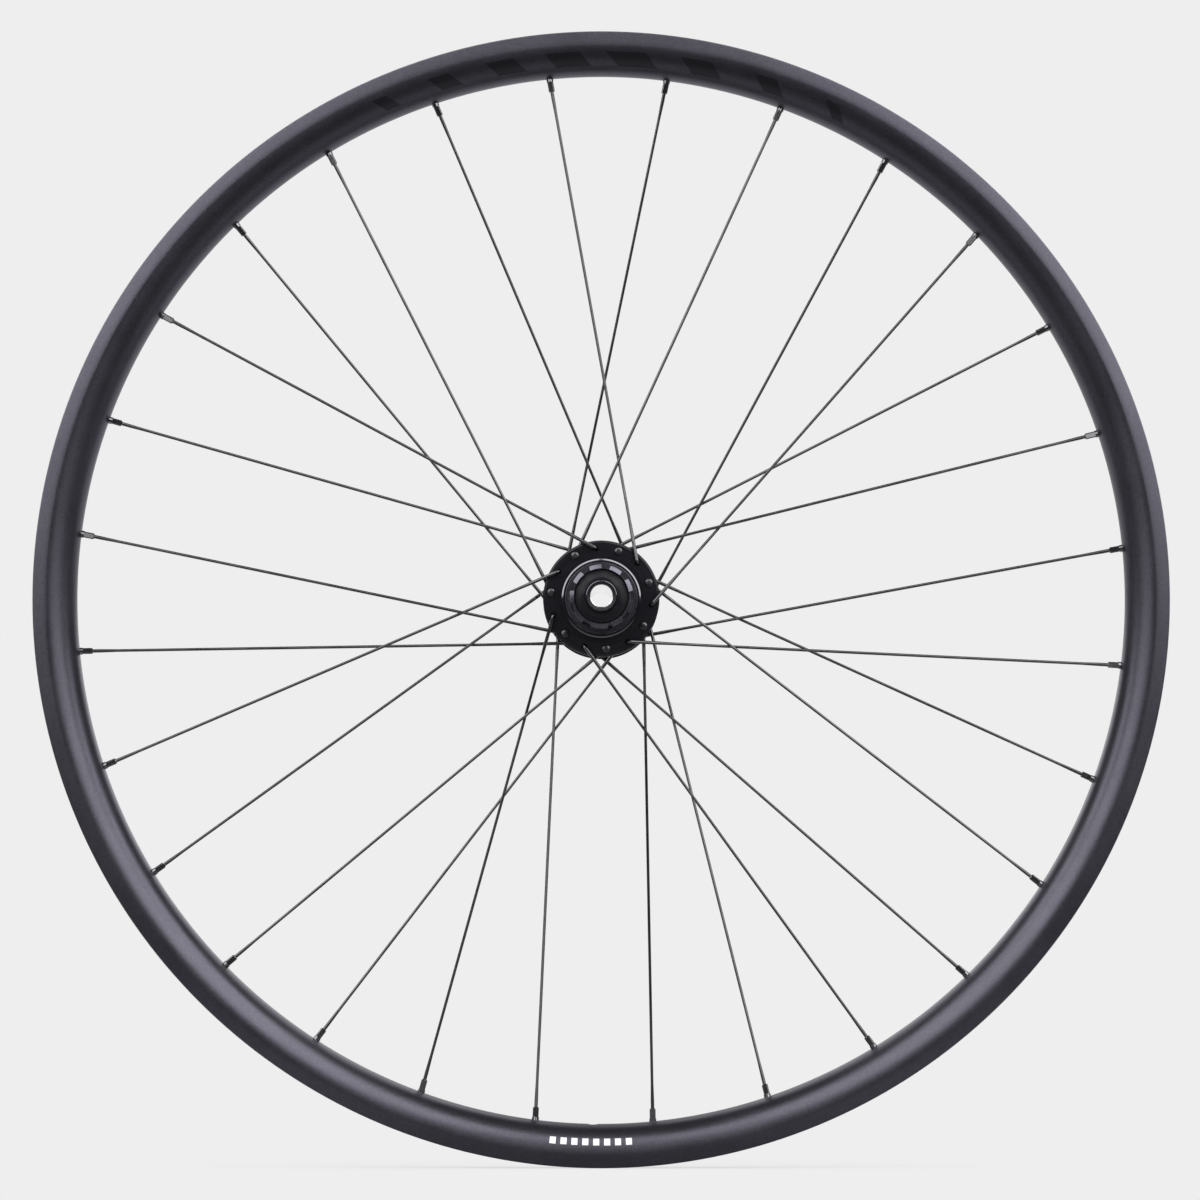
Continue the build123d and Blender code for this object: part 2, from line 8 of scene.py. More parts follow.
import logging
import math
from collections.abc import Callable, Sequence
from dataclasses import dataclass
from enum import Enum

import bpy
from mathutils import Matrix, Vector


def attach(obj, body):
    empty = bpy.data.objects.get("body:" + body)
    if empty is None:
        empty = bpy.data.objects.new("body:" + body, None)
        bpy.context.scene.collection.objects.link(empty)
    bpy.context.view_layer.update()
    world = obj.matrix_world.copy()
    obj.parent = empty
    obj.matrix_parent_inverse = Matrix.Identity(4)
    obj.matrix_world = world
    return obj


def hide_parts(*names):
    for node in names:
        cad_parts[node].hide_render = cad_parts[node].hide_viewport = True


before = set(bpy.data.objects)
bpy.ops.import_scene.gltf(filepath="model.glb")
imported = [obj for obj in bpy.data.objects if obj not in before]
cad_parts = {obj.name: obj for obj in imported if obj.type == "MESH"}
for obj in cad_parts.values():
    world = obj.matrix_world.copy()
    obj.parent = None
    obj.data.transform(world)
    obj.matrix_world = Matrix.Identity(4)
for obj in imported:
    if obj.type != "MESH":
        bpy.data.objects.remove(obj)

log = logging.getLogger("wheel")

MM = 0.001
AXLE = Vector((0, 1, 0))
ORIGIN = Vector((0, 0, 0))
MERGE_DISTANCE = 1e-6

# How far a cutting tool reaches past the surface that it cuts
OVERCUT = 1.0 * MM

# Sizes that more than one sub-assembly uses
RIM_OUTER_R = 316.7 * MM
RIM_INNER_R = 292.2 * MM
NIPPLE_EXPOSED = 7.2 * MM
NIPPLE_SEAT = 2.0 * MM
FLANGE_THICKNESS = 3.0 * MM
CARRIER_R = 16.6 * MM

Piece = bpy.types.Object
Face = bpy.types.MeshPolygon
Socket = bpy.types.NodeSocket
Colour = tuple[float, float, float]
Corner = tuple[float, float]
Station = tuple[float, float]


class Cut(Enum):
    """What a boolean does with its tool."""

    TAKE_AWAY = "DIFFERENCE"
    JOIN = "UNION"


class Side(Enum):
    """A side of the wheel, as the sign of its Y."""

    DRIVE = -1
    DISC = 1

    @property
    def word(self) -> str:
        """The side as a part of a piece's name."""
        return self.name.lower()


class Texture(Enum):
    """The marks that a maker's process leaves, as the node group that draws them."""

    BLASTED = "blasted_grain"
    TURNED = "turning_lines"
    DRAWN = "drawing_marks"
    MOULDED = "moulded_skin"


# Modelling moves


def put_down() -> None:
    """Leave edit mode and deselect everything."""
    if bpy.context.object and bpy.context.object.mode != "OBJECT":
        bpy.ops.object.mode_set(mode="OBJECT")
    bpy.ops.object.select_all(action="DESELECT")


def pick_up(piece: Piece) -> None:
    """Select one piece alone and make it active.

    Args:
        piece: The piece to work on.
    """
    put_down()
    piece.select_set(True)
    bpy.context.view_layer.objects.active = piece


def rename(piece: Piece, name: str) -> Piece:
    """Give a piece and its mesh one name."""
    piece.name = piece.data.name = name
    return piece


def open_new(name: str) -> Piece:
    """Name the primitive that was just added, and open it for editing with all of it selected.

    Args:
        name: Name of the new piece.

    Returns:
        The piece, in edit mode.
    """
    piece = rename(bpy.context.object, name)
    bpy.ops.object.mode_set(mode="EDIT")
    bpy.ops.mesh.select_all(action="SELECT")
    return piece


def close_up(piece: Piece) -> Piece:
    """Merge a piece's seams, turn its faces outwards, leave edit mode and put its place into its mesh.

    Args:
        piece: The piece that is open for editing.

    Returns:
        The same piece, closed.
    """
    bpy.ops.mesh.select_all(action="SELECT")
    bpy.ops.mesh.remove_doubles(threshold=MERGE_DISTANCE)
    bpy.ops.mesh.normals_make_consistent(inside=False)
    bpy.ops.object.mode_set(mode="OBJECT")
    bpy.ops.object.transform_apply(location=True, rotation=True, scale=True)
    return piece


def outline(name: str, corners: Sequence[Vector]) -> Piece:
    """Draw a flat closed outline corner by corner, and fill it with one face.

    Args:
        name: Name of the new piece.
        corners: The corners in order.

    Returns:
        The piece, still in edit mode with its face selected.
    """
    put_down()
    bpy.ops.mesh.primitive_plane_add(size=MM)
    piece = open_new(name)
    bpy.ops.mesh.merge(type="CENTER")
    bpy.ops.transform.translate(value=corners[0])
    for here, there in zip(corners, corners[1:]):
        bpy.ops.mesh.extrude_region_move(TRANSFORM_OT_translate={"value": there - here})
    bpy.ops.mesh.select_all(action="SELECT")
    bpy.ops.mesh.edge_face_add()
    return piece


def turned(name: str, profile: Sequence[Corner], steps: int) -> Piece:
    """Turn a closed half section about the axle.

    Args:
        name: Name of the new piece.
        profile: (radius, y) corners of the half section.
        steps: Facets round the axle.

    Returns:
        The closed piece.
    """
    piece = outline(name, [Vector((radius, y, 0)) for radius, y in profile])
    bpy.ops.mesh.delete(type="ONLY_FACE")
    bpy.ops.mesh.select_all(action="SELECT")
    bpy.ops.mesh.spin(steps=steps, angle=math.tau, center=ORIGIN, axis=AXLE)
    return close_up(piece)


def prism(name: str, corners: Sequence[Corner], y_from: float, y_to: float) -> Piece:
    """Extrude an outline of the wheel plane along the axle.

    Args:
        name: Name of the new piece.
        corners: (x, z) corners of the outline.
        y_from: Where it starts.
        y_to: Where it ends.

    Returns:
        The closed piece.
    """
    piece = outline(name, [Vector((x, y_from, z)) for x, z in corners])
    bpy.ops.mesh.extrude_region_move(TRANSFORM_OT_translate={"value": AXLE * (y_to - y_from)})
    return close_up(piece)


def begin_bar(name: str, centre: Vector, along: Vector, radius: float, sides: int) -> Piece:
    """Add the round end face of a bar and open it for editing.

    Args:
        name: Name of the new piece.
        centre: The end's centre.
        along: The bar's direction.
        radius: The end's radius.
        sides: Facets round the bar.

    Returns:
        The piece, in edit mode with its end selected.
    """
    put_down()
    turn = along.to_track_quat("Z", "Y").to_euler()
    bpy.ops.mesh.primitive_circle_add(vertices=sides, radius=radius, fill_type="NGON", location=centre, rotation=turn)
    return open_new(name)


def grow_bar(here: Vector, there: Vector, scale: float) -> None:
    """Extrude a bar's open end to the next place and scale its section there.

    Args:
        here: The open end's centre.
        there: The next section's centre.
        scale: The next section's radius as a share of this one's.
    """
    bpy.ops.mesh.extrude_region_move(TRANSFORM_OT_translate={"value": there - here})
    if scale != 1:
        bpy.ops.transform.resize(value=(scale, scale, scale), center_override=there)


def grow_straight(start: Vector, along: Vector, stations: Sequence[Station]) -> None:
    """Extrude a bar's open end straight through its next sections.

    Args:
        start: Where distances are measured from.
        along: The bar's direction.
        stations: (distance, radius) of the open end and of each section after it.
    """
    for (here, radius), (there, next_radius) in zip(stations, stations[1:]):
        grow_bar(start + along * here, start + along * there, next_radius / radius)


def bar(name: str, start: Vector, along: Vector, stations: Sequence[Station], sides: int) -> Piece:
    """Extrude a straight round bar whose radius changes on the way.

    Args:
        name: Name of the new piece.
        start: Where distances are measured from.
        along: The bar's direction.
        stations: (distance, radius) of each section.
        sides: Facets round the bar.

    Returns:
        The closed piece.
    """
    distance, radius = stations[0]
    piece = begin_bar(name, start + along * distance, along, radius, sides)
    grow_straight(start, along, stations)
    return close_up(piece)


def block(name: str, low: Vector, high: Vector) -> Piece:
    """Add a rectangular block, as a cutting tool.

    Args:
        name: Name of the new piece.
        low: Its lowest corner.
        high: Its highest corner.

    Returns:
        The closed piece.
    """
    put_down()
    bpy.ops.mesh.primitive_cube_add(size=1, location=(low + high) / 2, scale=high - low)
    return close_up(open_new(name))


def copy_of(piece: Piece, name: str, place: Matrix) -> Piece:
    """Copy a piece with its own mesh.

    Args:
        piece: The pattern.
        name: Name of the copy.
        place: How the copy's mesh is moved.

    Returns:
        The copy.
    """
    twin = piece.copy()
    twin.data = piece.data.copy()
    twin.data.transform(place)
    bpy.context.scene.collection.objects.link(twin)
    return rename(twin, name)


def scrap(piece: Piece) -> None:
    """Delete a pattern or a tool that has done its work.

    Args:
        piece: The piece to delete.
    """
    mesh = piece.data
    bpy.data.objects.remove(piece)
    bpy.data.meshes.remove(mesh)


def gather(name: str, pieces: Sequence[Piece]) -> Piece:
    """Join pieces into one object.

    Args:
        name: Name of the joined piece.
        pieces: The pieces, of which the first takes in the others.

    Returns:
        The joined piece.
    """
    put_down()
    for piece in pieces:
        piece.select_set(True)
    bpy.context.view_layer.objects.active = pieces[0]
    bpy.ops.object.join()
    return rename(pieces[0], name)


def spread(pattern: Piece, angles: Sequence[float]) -> Piece:
    """Repeat a pattern round the axle as one piece, and scrap the pattern.

    Args:
        pattern: The piece at angle 0.
        angles: The angles of its copies.

    Returns:
        The joined copies.
    """
    name = pattern.name
    copies = [copy_of(pattern, name, about_axle(angle)) for angle in angles]
    scrap(pattern)
    return gather(name, copies)


def combine(piece: Piece, tool: Piece, cut: Cut) -> None:
    """Cut a tool out of a piece or join it to the piece, and scrap the tool.

    Args:
        piece: The piece to change.
        tool: The other piece.
        cut: What is done with the tool.
    """
    pick_up(piece)
    boolean = piece.modifiers.new(tool.name, "BOOLEAN")
    boolean.operation = cut.value
    boolean.solver = "EXACT"
    boolean.object = tool
    bpy.ops.object.modifier_apply(modifier=boolean.name)
    scrap(tool)


def round_edges(piece: Piece, width: float, angle: float = 32) -> None:
    """Round every sharp edge of a piece.

    Args:
        piece: The piece to change.
        width: How far the round reaches from the edge.
        angle: The least bend that counts as sharp.
    """
    pick_up(piece)
    bevel = piece.modifiers.new("rounded_edges", "BEVEL")
    bevel.width = width
    bevel.segments = 2
    bevel.limit_method = "ANGLE"
    bevel.angle_limit = math.radians(angle)
    bpy.ops.object.modifier_apply(modifier=bevel.name)


def smooth(piece: Piece, angle: float) -> None:
    """Shade a piece smooth, except across its sharp edges.

    Args:
        piece: The piece to shade.
        angle: The least bend that counts as sharp.
    """
    pick_up(piece)
    bpy.ops.object.shade_smooth_by_angle(angle=math.radians(angle), keep_sharp_edges=True)
    weighted = piece.modifiers.new("flat_faces_stay_flat", "WEIGHTED_NORMAL")
    weighted.keep_sharp = True
    bpy.ops.object.modifier_apply(modifier=weighted.name)


def about_axle(angle: float) -> Matrix:
    """The turn about the axle by an angle of the wheel plane."""
    return Matrix.Rotation(-math.radians(angle), 4, "Y")


def polar(radius: float, angle: float) -> Corner:
    """X and Z of a point of the wheel plane."""
    return radius * math.cos(math.radians(angle)), radius * math.sin(math.radians(angle))


def arc(radius: float, start: float, end: float, steps: int) -> list[Corner]:
    """Points of an arc about the axle, from one angle to another."""
    return [polar(radius, start + (end - start) * step / steps) for step in range(steps + 1)]


def axle_distance(face: Face) -> float:
    """How far a face's middle lies from the axle's line."""
    return math.hypot(face.center.x, face.center.z)


# Finishes


class NodeSheet:
    """A node tree under construction, with short ways to add nodes and sums."""

    def __init__(self, tree: bpy.types.NodeTree) -> None:
        """Start on an emptied node tree."""
        self.tree = tree
        tree.nodes.clear()

    def add(self, kind: str, **settings: object) -> bpy.types.Node:
        """Add a node.

        Args:
            kind: The node's type.
            settings: The node's properties.

        Returns:
            The node.
        """
        node = self.tree.nodes.new(kind)
        for key, value in settings.items():
            setattr(node, key, value)
        return node

    def feed(self, socket: Socket, value: object) -> None:
        """Fill an input.

        Args:
            socket: The input.
            value: A number or colour to set, or an output to link.
        """
        if isinstance(value, Socket):
            self.tree.links.new(value, socket)
        else:
            socket.default_value = value

    def math(self, operation: str, *values: object) -> Socket:
        """Add a Math node.

        Args:
            operation: What it does.
            values: Its inputs in order.

        Returns:
            Its result.
        """
        node = self.add("ShaderNodeMath", operation=operation)
        for socket, value in zip(node.inputs, values):
            self.feed(socket, value)
        return node.outputs[0]

    def noise(self, vector: Socket, scale: object, detail: float) -> Socket:
        """Add a Noise Texture.

        Args:
            vector: Where it is read.
            scale: How fine it is.
            detail: How many finer layers it has.

        Returns:
            Its value.
        """
        node = self.add("ShaderNodeTexNoise")
        self.feed(node.inputs["Vector"], vector)
        self.feed(node.inputs["Scale"], scale)
        node.inputs["Detail"].default_value = detail
        return node.outputs["Fac"]

    def remap(self, value: Socket, low: float, high: float, to_low: object = 0.0, to_high: object = 1.0) -> Socket:
        """Add a clamped Map Range.

        Args:
            value: The value to map.
            low: Where the range starts.
            high: Where the range ends.
            to_low: What its start becomes.
            to_high: What its end becomes.

        Returns:
            The mapped value.
        """
        node = self.add("ShaderNodeMapRange")
        for socket, given in zip(node.inputs, (value, low, high, to_low, to_high)):
            self.feed(socket, given)
        return node.outputs[0]

    def mix(self, share: Socket, first: object, second: object) -> Socket:
        """Add a mix of two colours.

        Args:
            share: How much of the second it takes.
            first: The first colour.
            second: The second colour.

        Returns:
            The mixed colour.
        """
        node = self.add("ShaderNodeMix", data_type="RGBA")
        # Sockets of one name exist for each data type, so the colours go by number
        self.feed(node.inputs[0], share)
        self.feed(node.inputs[6], first)
        self.feed(node.inputs[7], second)
        return node.outputs[2]

    def blend(self, share: Socket, first: bpy.types.Node, second: bpy.types.Node) -> Socket:
        """Add a mix of two shaders.

        Args:
            share: How much of the second it takes.
            first: The first shader's node.
            second: The second shader's node.

        Returns:
            The mixed shader.
        """
        node = self.add("ShaderNodeMixShader")
        for socket, value in zip(node.inputs, (share, first.outputs[0], second.outputs[0])):
            self.feed(socket, value)
        return node.outputs[0]

    def place(self) -> Socket:
        """The point on the piece, in the wheel's own frame."""
        return self.add("ShaderNodeTexCoord").outputs["Object"]

    def split(self, vector: Socket) -> tuple[Socket, Socket, Socket]:
        """Take a vector apart.

        Args:
            vector: The vector.

        Returns:
            Its X, Y and Z.
        """
        node = self.add("ShaderNodeSeparateXYZ")
        self.feed(node.inputs[0], vector)
        return tuple(node.outputs)

    def wheel_polar(self) -> tuple[Socket, Socket, Socket]:
        """Find where the point lies on the wheel.

        Returns:
            Its distance from the axle, its angle in the wheel plane in radians, and its place along the axle.
        """
        x, y, z = self.split(self.place())
        radius = self.math("SQRT", self.math("ADD", self.math("MULTIPLY", x, x), self.math("MULTIPLY", z, z)))
        return radius, self.math("ARCTAN2", z, x), y

    def shown(self, path: bpy.types.Node) -> Socket:
        """One on rays that show a thing: from the camera, off gloss or through glass.

        Args:
            path: The Light Path node.

        Returns:
            The mask.
        """
        mirrored = self.math("MAXIMUM", path.outputs["Is Camera Ray"], path.outputs["Is Glossy Ray"])
        return self.math("MAXIMUM", mirrored, path.outputs["Is Transmission Ray"])


class TextureShelf:
    """The node groups that several finishes share, each built once.

    Every group takes the size of its grain in millimetres, and puts out the height of its relief, a mask of its
    lighter grain and a broad mask of uneven gloss.
    """

    GRAIN_SIZE = "Grain mm"
    OUTPUTS = ("Height", "Grain", "Cloud")
    CLOUD_SCALE = 38.0
    CLOUD_DETAIL = 5.0
    CLOUD_RANGE = (0.32, 0.68)
    GRAIN_RANGES = {
        Texture.BLASTED: (0.34, 0.66),
        Texture.TURNED: (0.40, 0.70),
        Texture.DRAWN: (0.42, 0.62),
        Texture.MOULDED: (0.20, 0.70),
    }
    FINE_DETAIL = 2.0
    COARSE_DETAIL = 3.0
    SHIMMER_SCALE = 0.31
    SHIMMER_SHARE = 0.3
    RING_DRIFT = 0.0002
    STREAK_STRETCH = (1.0, 1.0, 0.04)

    def __init__(self) -> None:
        """Build the groups."""
        reliefs = {
            Texture.BLASTED: self.blasted,
            Texture.TURNED: self.turned_lines,
            Texture.DRAWN: self.drawn,
            Texture.MOULDED: self.moulded,
        }
        self.groups = {texture: self.group(texture, relief) for texture, relief in reliefs.items()}

    def group(self, texture: Texture, relief: Callable[[NodeSheet, Socket], Socket]) -> bpy.types.NodeTree:
        """Build one texture's group.

        Args:
            texture: The texture.
            relief: Draws the height of its relief, from the sheet and the scale of its grain.

        Returns:
            The node group.
        """
        tree = bpy.data.node_groups.new(texture.value, "ShaderNodeTree")
        tree.interface.new_socket(name=self.GRAIN_SIZE, in_out="INPUT", socket_type="NodeSocketFloat")
        for output in self.OUTPUTS:
            tree.interface.new_socket(name=output, in_out="OUTPUT", socket_type="NodeSocketFloat")
        sheet = NodeSheet(tree)
        grain_size = sheet.add("NodeGroupInput").outputs[self.GRAIN_SIZE]
        height = relief(sheet, sheet.math("DIVIDE", 1 / MM, grain_size))
        cloud = sheet.noise(sheet.place(), self.CLOUD_SCALE, self.CLOUD_DETAIL)
        result = sheet.add("NodeGroupOutput")
        sheet.feed(result.inputs["Height"], height)
        sheet.feed(result.inputs["Grain"], sheet.remap(height, *self.GRAIN_RANGES[texture]))
        sheet.feed(result.inputs["Cloud"], sheet.remap(cloud, *self.CLOUD_RANGE))
        return tree

    def blasted(self, sheet: NodeSheet, scale: Socket) -> Socket:
        """Bead-blasted metal: fine even pits with a coarser shimmer.

        Args:
            sheet: The group's sheet.
            scale: The scale of its grain.

        Returns:
            The height of its relief.
        """
        pits = sheet.noise(sheet.place(), scale, self.FINE_DETAIL)
        coarse = sheet.math("MULTIPLY", scale, self.SHIMMER_SCALE)
        shimmer = sheet.noise(sheet.place(), coarse, self.COARSE_DETAIL)
        pits = sheet.math("MULTIPLY", pits, 1 - self.SHIMMER_SHARE)
        return sheet.math("ADD", pits, sheet.math("MULTIPLY", shimmer, self.SHIMMER_SHARE))

    def turned_lines(self, sheet: NodeSheet, scale: Socket) -> Socket:
        """Lathe-turned metal: fine rings about the axle that fade in and out.

        Args:
            sheet: The group's sheet.
            scale: The scale of its grain.

        Returns:
            The height of its relief.
        """
        radius, angle, y = sheet.wheel_polar()
        feed_path = sheet.add("ShaderNodeCombineXYZ")
        for socket, value in zip(feed_path.inputs, (radius, y, sheet.math("MULTIPLY", angle, self.RING_DRIFT))):
            sheet.feed(socket, value)
        return sheet.noise(feed_path.outputs[0], scale, self.FINE_DETAIL)

    def drawn(self, sheet: NodeSheet, scale: Socket) -> Socket:
        """Drawn wire: streaks along its length, from the piece's own straightened coordinates.

        Args:
            sheet: The group's sheet.
            scale: The scale of its grain.

        Returns:
            The height of its relief.
        """
        straightened = sheet.add("ShaderNodeAttribute", attribute_name=Spoke.STRAIGHTENED)
        stretch = sheet.add("ShaderNodeMapping")
        sheet.feed(stretch.inputs["Vector"], straightened.outputs["Vector"])
        stretch.inputs["Scale"].default_value = self.STREAK_STRETCH
        return sheet.noise(stretch.outputs[0], scale, self.COARSE_DETAIL)

    def moulded(self, sheet: NodeSheet, scale: Socket) -> Socket:
        """Moulded rubber: a soft pebbled skin.

        Args:
            sheet: The group's sheet.
            scale: The scale of its grain.

        Returns:
            The height of its relief.
        """
        pebbles = sheet.add("ShaderNodeTexVoronoi", feature="SMOOTH_F1")
        sheet.feed(pebbles.inputs["Vector"], sheet.place())
        sheet.feed(pebbles.inputs["Scale"], scale)
        return pebbles.outputs["Distance"]


@dataclass(frozen=True)
class Finish:
    """A finish: two tones of one colour, its gloss and the marks of how it was made."""

    slot: str
    deep: Colour
    pale: Colour
    smoothest: float
    roughest: float
    texture: Texture
    grain_mm: float
    relief_mm: float
    metallic: float = 0.0
    specular: float = 0.5

    CLOUD_SHARE = 0.6

    def material(self, shelf: TextureShelf) -> bpy.types.Material:
        """Build the finish as a material.

        Args:
            shelf: The shared node groups.

        Returns:
            The material, named after its slot.
        """
        material = bpy.data.materials.new(self.slot)
        material.use_nodes = True
        sheet = NodeSheet(material.node_tree)
        surface = sheet.add("ShaderNodeBsdfPrincipled")
        output = sheet.add("ShaderNodeOutputMaterial")
        sheet.feed(output.inputs["Surface"], surface.outputs[0])
        marks = sheet.add("ShaderNodeGroup", node_tree=shelf.groups[self.texture])
        marks.inputs[shelf.GRAIN_SIZE].default_value = self.grain_mm
        tone = sheet.mix(marks.outputs["Grain"], (*self.deep, 1), (*self.pale, 1))
        grain = sheet.math("MULTIPLY", marks.outputs["Grain"], 1 - self.CLOUD_SHARE)
        gloss = sheet.math("MULTIPLY_ADD", marks.outputs["Cloud"], self.CLOUD_SHARE, grain)
        roughness = sheet.remap(gloss, 0.0, 1.0, self.smoothest, self.roughest)
        tone, roughness = self.print_over(sheet, tone, roughness)
        bump = sheet.add("ShaderNodeBump")
        bump.inputs["Strength"].default_value = 1.0
        bump.inputs["Distance"].default_value = self.relief_mm * MM
        sheet.feed(bump.inputs["Height"], marks.outputs["Height"])
        sheet.feed(surface.inputs["Base Color"], tone)
        sheet.feed(surface.inputs["Roughness"], roughness)
        sheet.feed(surface.inputs["Normal"], bump.outputs[0])
        surface.inputs["Metallic"].default_value = self.metallic
        surface.inputs["Specular IOR Level"].default_value = self.specular
        return material

    def print_over(self, sheet: NodeSheet, tone: Socket, roughness: Socket) -> tuple[Socket, Socket]:
        """Print graphics over the bare finish. A plain finish has none."""
        return tone, roughness


@dataclass(frozen=True)
class PrintRow:
    """A row of like marks round the rim, and the share of their pitch that they take at its middle and at its ends."""

    tone: Colour
    middle: float
    reach: float
    start: float
    pitch: float
    low: float
    high: float
    middle_share: float
    end_share: float
    slant_per_mm: float = 0.0

    def mask(self, sheet: NodeSheet, radius: Socket, degrees: Socket) -> Socket:
        """One on the marks, nothing beside them.

        Args:
            sheet: The material's sheet.
            radius: The point's distance from the axle.
            degrees: The point's angle.

        Returns:
            The mask.
        """
        away = sheet.math("ABSOLUTE", sheet.math("SUBTRACT", degrees, self.middle))
        lean = sheet.math("MULTIPLY", sheet.math("SUBTRACT", radius, self.low), self.slant_per_mm / MM)
        travel = sheet.math("SUBTRACT", sheet.math("SUBTRACT", degrees, lean), self.start)
        step = sheet.math("FRACT", sheet.math("DIVIDE", travel, self.pitch))
        share = sheet.remap(away, 0.0, self.reach, self.middle_share, self.end_share)
        marks = sheet.math("MULTIPLY", sheet.math("LESS_THAN", step, share), sheet.math("LESS_THAN", away, self.reach))
        above = sheet.math("GREATER_THAN", radius, self.low)
        below = sheet.math("LESS_THAN", radius, self.high)
        return sheet.math("MULTIPLY", marks, sheet.math("MULTIPLY", above, below))


@dataclass(frozen=True)
class PrintedFinish(Finish):
    """The rim's finish, with gloss bars over its top and a row of white dashes at its foot."""

    bars: PrintRow = PrintRow(
        (0.045, 0.044, 0.052), middle=90.0, reach=28.0, start=0.0, pitch=7.0,
        low=297.5 * MM, high=305.5 * MM, middle_share=0.62, end_share=0.16, slant_per_mm=0.16,
    )
    dashes: PrintRow = PrintRow(
        (0.78, 0.78, 0.78), middle=-91.0, reach=4.6, start=-4.6, pitch=1.15,
        low=300.2 * MM, high=304.0 * MM, middle_share=0.56, end_share=0.56,
    )
    bar_roughness: float = 0.34

    def print_over(self, sheet: NodeSheet, tone: Socket, roughness: Socket) -> tuple[Socket, Socket]:
        """Print the bars and dashes, placed by radius and angle.

        Args:
            sheet: The material's sheet.
            tone: The bare finish's colour.
            roughness: The bare finish's roughness.

        Returns:
            The printed colour and roughness.
        """
        radius, angle, _ = sheet.wheel_polar()
        degrees = sheet.math("DEGREES", angle)
        bars = self.bars.mask(sheet, radius, degrees)
        tone = sheet.mix(bars, tone, (*self.bars.tone, 1))
        tone = sheet.mix(self.dashes.mask(sheet, radius, degrees), tone, (*self.dashes.tone, 1))
        return tone, sheet.remap(bars, 0.0, 1.0, roughness, self.bar_roughness)


RIM_BLACK = PrintedFinish(
    "rim_black", (0.066, 0.064, 0.079), (0.094, 0.091, 0.111), 0.29, 0.36, Texture.BLASTED, 0.55, 0.005, metallic=0.93
)
HUB_BLACK = Finish(
    "hub_black", (0.012, 0.0115, 0.014), (0.020, 0.019, 0.024), 0.15, 0.22, Texture.TURNED, 0.3, 0.001,
    metallic=0.3, specular=0.2,
)
HUB_EDGE = Finish(
    "hub_edge", (0.15, 0.148, 0.16), (0.20, 0.198, 0.212), 0.10, 0.16, Texture.TURNED, 0.2, 0.0005, metallic=1.0
)
SPOKE_BLACK = Finish(
    "spoke_black", (0.095, 0.095, 0.100), (0.135, 0.135, 0.142), 0.22, 0.30, Texture.DRAWN, 0.8, 0.001, metallic=1.0
)
SPOKE_HEAD = Finish(
    "spoke_head", (0.080, 0.080, 0.084), (0.115, 0.115, 0.120), 0.30, 0.38, Texture.BLASTED, 0.4, 0.001, metallic=1.0
)
NIPPLE_BLACK = Finish(
    "nipple_black", (0.16, 0.16, 0.168), (0.23, 0.23, 0.24), 0.16, 0.24, Texture.BLASTED, 0.5, 0.001, metallic=1.0
)
CAP_BLACK = Finish(
    "cap_black", (0.0068, 0.0065, 0.0092), (0.0120, 0.0115, 0.0158), 0.36, 0.46, Texture.TURNED, 0.35, 0.002,
    specular=0.25,
)
FREEHUB_BLACK = Finish(
    "freehub_black", (0.098, 0.096, 0.116), (0.144, 0.141, 0.168), 0.20, 0.29, Texture.TURNED, 0.4, 0.001,
    metallic=0.88,
)
AXLE_ALLOY = Finish(
    "axle_alloy", (0.86, 0.86, 0.87), (0.94, 0.94, 0.95), 0.06, 0.10, Texture.TURNED, 0.3, 0.0004, metallic=1.0
)
BEARING_STEEL = Finish(
    "bearing_steel", (0.46, 0.46, 0.47), (0.60, 0.60, 0.61), 0.14, 0.26, Texture.TURNED, 0.2, 0.001, metallic=1.0
)
HARD_STEEL = Finish(
    "hard_steel", (0.30, 0.30, 0.31), (0.44, 0.44, 0.45), 0.26, 0.42, Texture.BLASTED, 0.3, 0.003, metallic=1.0
)
SEAL_RUBBER = Finish(
    "seal_rubber", (0.014, 0.014, 0.014), (0.026, 0.026, 0.026), 0.55, 0.72, Texture.MOULDED, 0.35, 0.02
)
FINISHES = (
    RIM_BLACK, HUB_BLACK, HUB_EDGE, SPOKE_BLACK, SPOKE_HEAD, NIPPLE_BLACK, CAP_BLACK,
    FREEHUB_BLACK, AXLE_ALLOY, BEARING_STEEL, HARD_STEEL, SEAL_RUBBER,
)


class PaintShop:
    """Every finish as a material, and the ways to put one on a piece."""

    def __init__(self, finishes: Sequence[Finish]) -> None:
        """Mix all the materials."""
        shelf = TextureShelf()
        self.materials = {finish.slot: finish.material(shelf) for finish in finishes}

    def coat(self, piece: Piece, finish: Finish) -> None:
        """Give the whole piece one finish."""
        piece.data.materials.clear()
        piece.data.materials.append(self.materials[finish.slot])

    def accent(self, piece: Piece, finish: Finish, picks: Callable[[Face], bool]) -> None:
        """Give some faces of a piece a further finish.

        Args:
            piece: The piece, which has its main finish.
            finish: The further finish.
            picks: Says whether a face takes it.
        """
        piece.data.materials.append(self.materials[finish.slot])
        for face in piece.data.polygons:
            if picks(face):
                face.material_index = len(piece.data.materials) - 1

    def deliver(self, piece: Piece, finish: Finish, body: str, *nodes: str) -> None:
        """Finish a new piece, let it ride on a body and stand for its solids.

        Args:
            piece: The modelled piece.
            finish: What it is finished in.
            body: The body that it moves with.
            nodes: The solids that it stands for.
        """
        self.coat(piece, finish)
        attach(piece, body)
        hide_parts(*nodes)
        log.info("%s: %d faces on %s", piece.name, len(piece.data.polygons), body)


# Sub-assemblies


